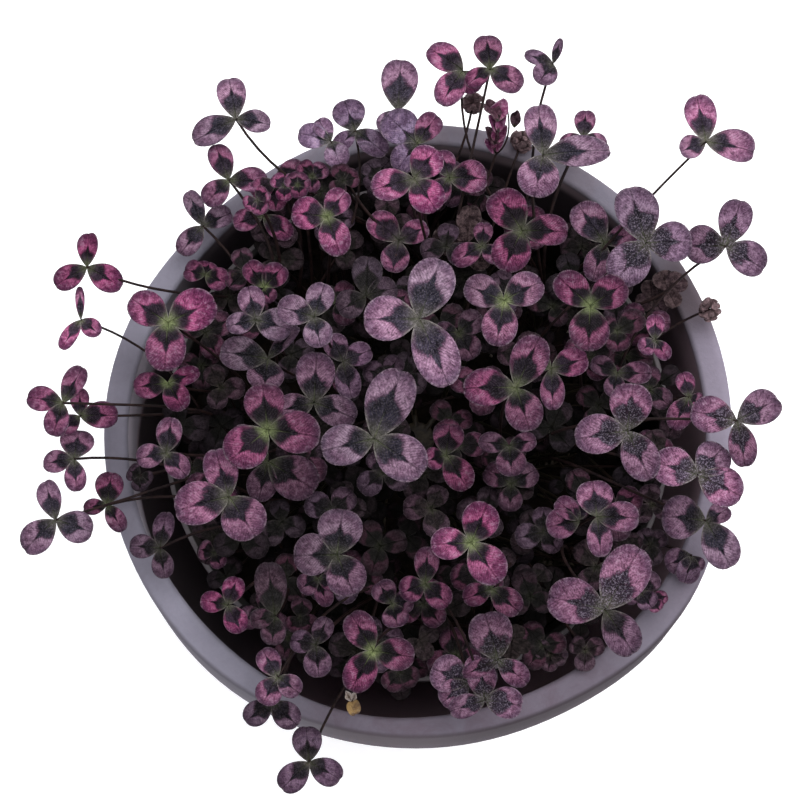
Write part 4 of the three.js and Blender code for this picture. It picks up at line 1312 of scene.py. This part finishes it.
def shaded_leaf(hub, size, light, style, luck):
    start = luck.random() * math.tau
    made = []
    for i in range(3):
        way = start + i * math.tau / 3 + luck.uniform(-0.25, 0.25)
        length = size * luck.uniform(0.85, 1.12)
        tip = hub + Vector((length * math.cos(way), length * math.sin(way), luck.uniform(-0.0012, 0.0008)))
        fold = luck.uniform(0.08, 0.3)
        bend = luck.uniform(0.2, 0.7)
        look = vary(LOOKS[style], luck, light)
        shape = (fold, bend, 0.03, luck.uniform(0, math.tau))
        made.append(leaflet_like(small_leaflet, hub, tip, length * 0.92, look, shape))
    return made


under_luck = random.Random(23)
for depth, size, distance, most, light, styles in UNDERGROWTH:
    for hub in shaded_places(depth, size, distance, most, under_luck):
        leaflets = shaded_leaf(hub, size, light * gap_shade(hub), under_luck.choice(styles), under_luck)
        stolon, foot = nearest_joint(hub, joints, 1.0)
        leaf = build_leaf("shaded_leaf", foot, hub, leaflets, UNDERGROWTH_STALK_RADIUS)
        stolon_leaves[stolon].append(leaf)

for stolon, leaves in stolon_leaves.items():
    leaf_group = join(leaves)
    leaf_group.name = f"stolon_leaves_{stolon + 1}"
    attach(leaf_group, "root")

# ---- Young leaf
# A red leaf at the back edge that hasn't opened: its leaflets are folded along their midribs and
# crumpled together on one short stalk, with a small olive leaflet beside them.

YOUNG_LEAF = (496, 154, 0)
YOUNG_STEM_TOP = (498, 112, 0.019)
YOUNG_BRANCH_TOP = (506, 104, 0.016)
YOUNG_BRANCH_BEND = (517, 140)
YOUNG_BRANCH_RADII = (0.0004, 0.0003)
YOUNG_FULLNESS = 1.5
YOUNG_RIPPLE = 0.24
YOUNG_RED = ((0.95, 0.1, 0.0), (1.6, 0.0, 0.25), (0.0, 1.0, 0.4))
YOUNG_PURPLE = ((1.0, 0.12, 0.0), (1.6, 0.0, 0.1), (0.15, 1.0, 0.2))
YOUNG_BROWN = ((0.7, 0.1, 0.0), (0.8, 0.0, 0.7), (0.0, 1.0, 0.5))
YOUNG_OLIVE = ((0.3, 0.1, 0.0), (0.7, 1.0, 0.7), (0.0, 1.0, 0.5))
YOUNG_LEAFLETS = [
    # foot and tip on the plan, lift of each over the joint in mm, width, fold, look
    ([500, 118], [484, 103], 19, 22, 11, 0.6, YOUNG_BROWN),
    ([497, 122], [501, 98], 18, 24, 14, 0.5, YOUNG_RED),
    ([498, 132], [505, 112], 14, 19, 11, 0.9, YOUNG_PURPLE),
    ([498, 134], [490, 114], 13, 18, 11, 0.9, YOUNG_PURPLE),
    ([496, 142], [506, 124], 9, 14, 12, 0.7, YOUNG_RED),
    ([495, 144], [485, 126], 8, 13, 11, 0.9, YOUNG_BROWN),
    ([495, 150], [502, 136], 4, 9, 11, 0.8, YOUNG_RED),
    ([496, 154], [487, 138], 0, 7, 12, 0.8, YOUNG_PURPLE),
    ([514, 128], [517, 110], 9, 13, 9, 0.6, YOUNG_OLIVE),
]


def crumpled_leaf():
    height, hub, unit = leaf_joint(*YOUNG_LEAF)
    leaflets = []
    for foot_spot, tip_spot, foot_up, tip_up, width, fold, look in YOUNG_LEAFLETS:
        foot = on_sight(*foot_spot, height + foot_up / 1000)
        tip = on_sight(*tip_spot, height + tip_up / 1000)
        shape = (fold, leaf_luck.uniform(-1.2, 1.2), YOUNG_RIPPLE, leaf_luck.uniform(0, math.tau))
        leaflets.append(leaflet_like(fine_leaflet, foot, tip, YOUNG_FULLNESS * width * unit, look, shape))
    u, v, up = YOUNG_STEM_TOP
    top = on_sight(u, v, height + up)
    stem = thin_stem("young_stem", hub, top, (STALK_RADIUS, STALK_RADIUS * 0.7), (hub, top))
    u, v, up = YOUNG_BRANCH_TOP
    top = on_sight(u, v, height + up)
    bend = on_sight(*YOUNG_BRANCH_BEND, height)
    branch = thin_stem("young_branch", hub, top, YOUNG_BRANCH_RADII, (bend, top))
    foot = foot_of(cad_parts["young_leaf"])
    return build_leaf("young_clover_leaf", foot, hub, [stem, branch, *leaflets])


young_leaf = crumpled_leaf()
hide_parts("young_leaf")
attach(young_leaf, "root")

# ---- Dry leaf
# A dead leaf over the front rim, papery and curled up on its stalk: one leaflet has dried to a tan
# cup and the other two to pale crumpled shreds.

DRY_LEAF = (352, 702, 0)
DRY_LIFT = 0.0015
DRY_FULLNESS = 1.3
DRY_RIPPLE = 0.12
DRY_CUP = ((0.0, 0.4, 0.0), (1.0, 0.0, 1.0), (0.0, 0.0, 0.0))
DRY_SHRED = ((0.0, 0.4, 1.0), (1.0, 0.0, 1.0), (0.0, 0.0, 0.0))
DRY_LEAFLETS = [
    # tip on the plan, width, fold, bend, look
    ([356, 716], 13, 0.6, 1.7, DRY_CUP),
    ([345, 690], 10, 0.9, -1.4, DRY_SHRED),
    ([356, 691], 10, 1.0, -1.2, DRY_SHRED),
]


def dry_finish():
    finish = Finish("dry_leaf")
    blade = finish.node("ShaderNodeUVMap", {"uv_map": "Blade"})
    along = finish.axis(blade, 0)
    off = abs(finish.axis(blade, 1) * 2 - 1)
    where = finish.place()
    blotches = finish.grain(where, 300, 5, 0.65, 0.8)
    creases = finish.grain(where, 1300, 4, 0.7, 1.5)
    vein_line = veins(finish, along, off, 0.0).ramp(0.35, 0.0)
    look = finish.node("ShaderNodeAttribute", {"attribute_name": "look"}, None, out="Color")
    base = finish.mix(blotches.ramp(0.35, 0.65), colour(176, 142, 88), colour(104, 76, 54))
    base = finish.mix(finish.axis(look, 2) * blotches.ramp(0.7, 0.4), base, colour(206, 194, 190))
    base = finish.mix(creases.ramp(0.55, 0.7) * 0.6, base, colour(196, 184, 164))
    base = finish.mix(vein_line * 0.4, base, colour(92, 68, 50))
    normal = finish.bump(creases + vein_line * 0.6, 0.0006, 0.9)
    return finish.close(Base_Color=base, Roughness=0.8, Normal=normal)


def curled_leaf():
    height, hub, unit = leaf_joint(*DRY_LEAF)
    papery = dry_finish()
    leaflets = []
    for spot, width, fold, bend, look in DRY_LEAFLETS:
        tip = on_sight(*spot, height + DRY_LIFT)
        shape = (fold, bend, DRY_RIPPLE, leaf_luck.uniform(0, math.tau))
        leaflet = leaflet_like(fine_leaflet, hub, tip, DRY_FULLNESS * width * unit, look, shape)
        coat(leaflet, papery)
        leaflets.append(leaflet)
    return build_leaf("dry_clover_leaf", foot_of(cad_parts["dead_leaf"]), hub, leaflets)


dry_leaf = curled_leaf()
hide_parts("dead_leaf")
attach(dry_leaf, "root")

# ---- Spent flower heads
# Clover heads past flowering: a small core on a dark stalk, hung all round with dry brown florets
# that droop. Two are full heads over the rim, and a smaller tuft stands low beside the young leaf.

SPENT_HEADS = [
    # node, spot on the plan, height over the rim, number of florets, size
    ("flower_head_back", (473, 103), 0.0158, 26, 1.0),
    ("flower_head_right", (710, 309), 0.012, 22, 1.05),
    (None, (522, 141), 0.004, 36, 1.05),
]
FLORET_LENGTH = 0.0034
FLORET_RADIUS = 0.0011
FLORET_STEPS = [
    # share of the length, widening
    (0.4, 2.2),
    (0.35, 1.3),
    (0.15, 1.15),
    (0.1, 0.35),
]
FLORET_DROOP = 0.35
CORE_RADIUS = 0.0017
FLOWER_STALK_RADII = (0.0007, 0.0005)
GOLDEN_TURN = math.pi * (3 - math.sqrt(5))


def make_floret():
    """One dry floret: a narrow tube that widens to a ragged mouth and closes on a shrivelled tip."""
    bpy.ops.object.select_all(action="DESELECT")
    bpy.ops.mesh.primitive_circle_add(vertices=6, radius=FLORET_RADIUS * 0.35, fill_type="NGON")
    bpy.ops.object.mode_set(mode="EDIT")
    bpy.ops.mesh.select_all(action="SELECT")
    for step, share in FLORET_STEPS:
        bpy.ops.mesh.extrude_region_move(TRANSFORM_OT_translate={"value": (0, 0, FLORET_LENGTH * step)})
        bpy.ops.transform.resize(value=(share, share, 1))
    bpy.ops.mesh.select_all(action="SELECT")
    bpy.ops.mesh.normals_make_consistent(inside=False)
    bpy.ops.object.mode_set(mode="OBJECT")
    return bpy.context.object


def floret_at(pattern, middle, way, size, luck):
    """A copy of the floret that points out of the head and droops."""
    floret = pattern.copy()
    floret.data = pattern.data.copy()
    scene.collection.objects.link(floret)
    curl = luck.uniform(15, 60)
    for point in floret.data.vertices:
        point.co.xy *= luck.uniform(0.7, 1.3)
        point.co.x += point.co.z**2 * curl
    droop = (way - Vector((0, 0, FLORET_DROOP))).normalized()
    turn = droop.to_track_quat("Z", "X").to_matrix().to_4x4()
    spot = Matrix.Translation(middle + way * CORE_RADIUS * 0.6 * size)
    floret.data.transform(spot @ turn @ Matrix.Scale(size * luck.uniform(0.8, 1.1), 4))
    return floret


def flower_finish():
    finish = Finish("dry_florets")
    where = finish.place()
    patches = finish.grain(where, 420, 4, 0.6)
    fibres = finish.grain(where, 1600, 3, 0.7, 1.5)
    base = finish.mix(patches.ramp(0.3, 0.7), colour(66, 48, 52), colour(134, 108, 112))
    base = finish.mix(fibres.ramp(0.58, 0.72) * 0.45, base, colour(160, 142, 138))
    return finish.close(Base_Color=base, Roughness=0.85, Normal=finish.bump(fibres, 0.0005, 0.7))


def spent_head(spot, lift, count, size, foot):
    middle = on_sight(*spot, RIM_HEIGHT + lift)
    parts = [thin_stem("stalk", foot, middle, FLOWER_STALK_RADII, stalk_handles(foot, middle))]
    for i in range(count):
        up = 1 - 2 * (i + 0.5) / count
        turn = i * GOLDEN_TURN
        flat = math.sqrt(1 - up * up)
        way = Vector((flat * math.cos(turn), flat * math.sin(turn), up))
        parts.append(floret_at(floret_pattern, middle, way, size, floret_luck))
    head = join(parts)
    smooth(head, 50)
    return head


floret_pattern = make_floret()
coat(floret_pattern, flower_finish())
floret_luck = random.Random(31)
for node_name, spot, lift, count, size in SPENT_HEADS:
    if node_name:
        head = spent_head(spot, lift, count, size, foot_of(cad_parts[node_name]))
        head.name = "spent_" + node_name
        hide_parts(node_name)
    else:
        foot = nearest_joint(on_sight(*spot, RIM_HEIGHT + lift), joints)[1]
        head = spent_head(spot, lift, count, size, foot)
        head.name = "spent_flower_tuft"
    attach(head, "root")
bpy.data.objects.remove(floret_pattern)

for pattern in (fine_leaflet, small_leaflet):
    bpy.data.objects.remove(pattern)
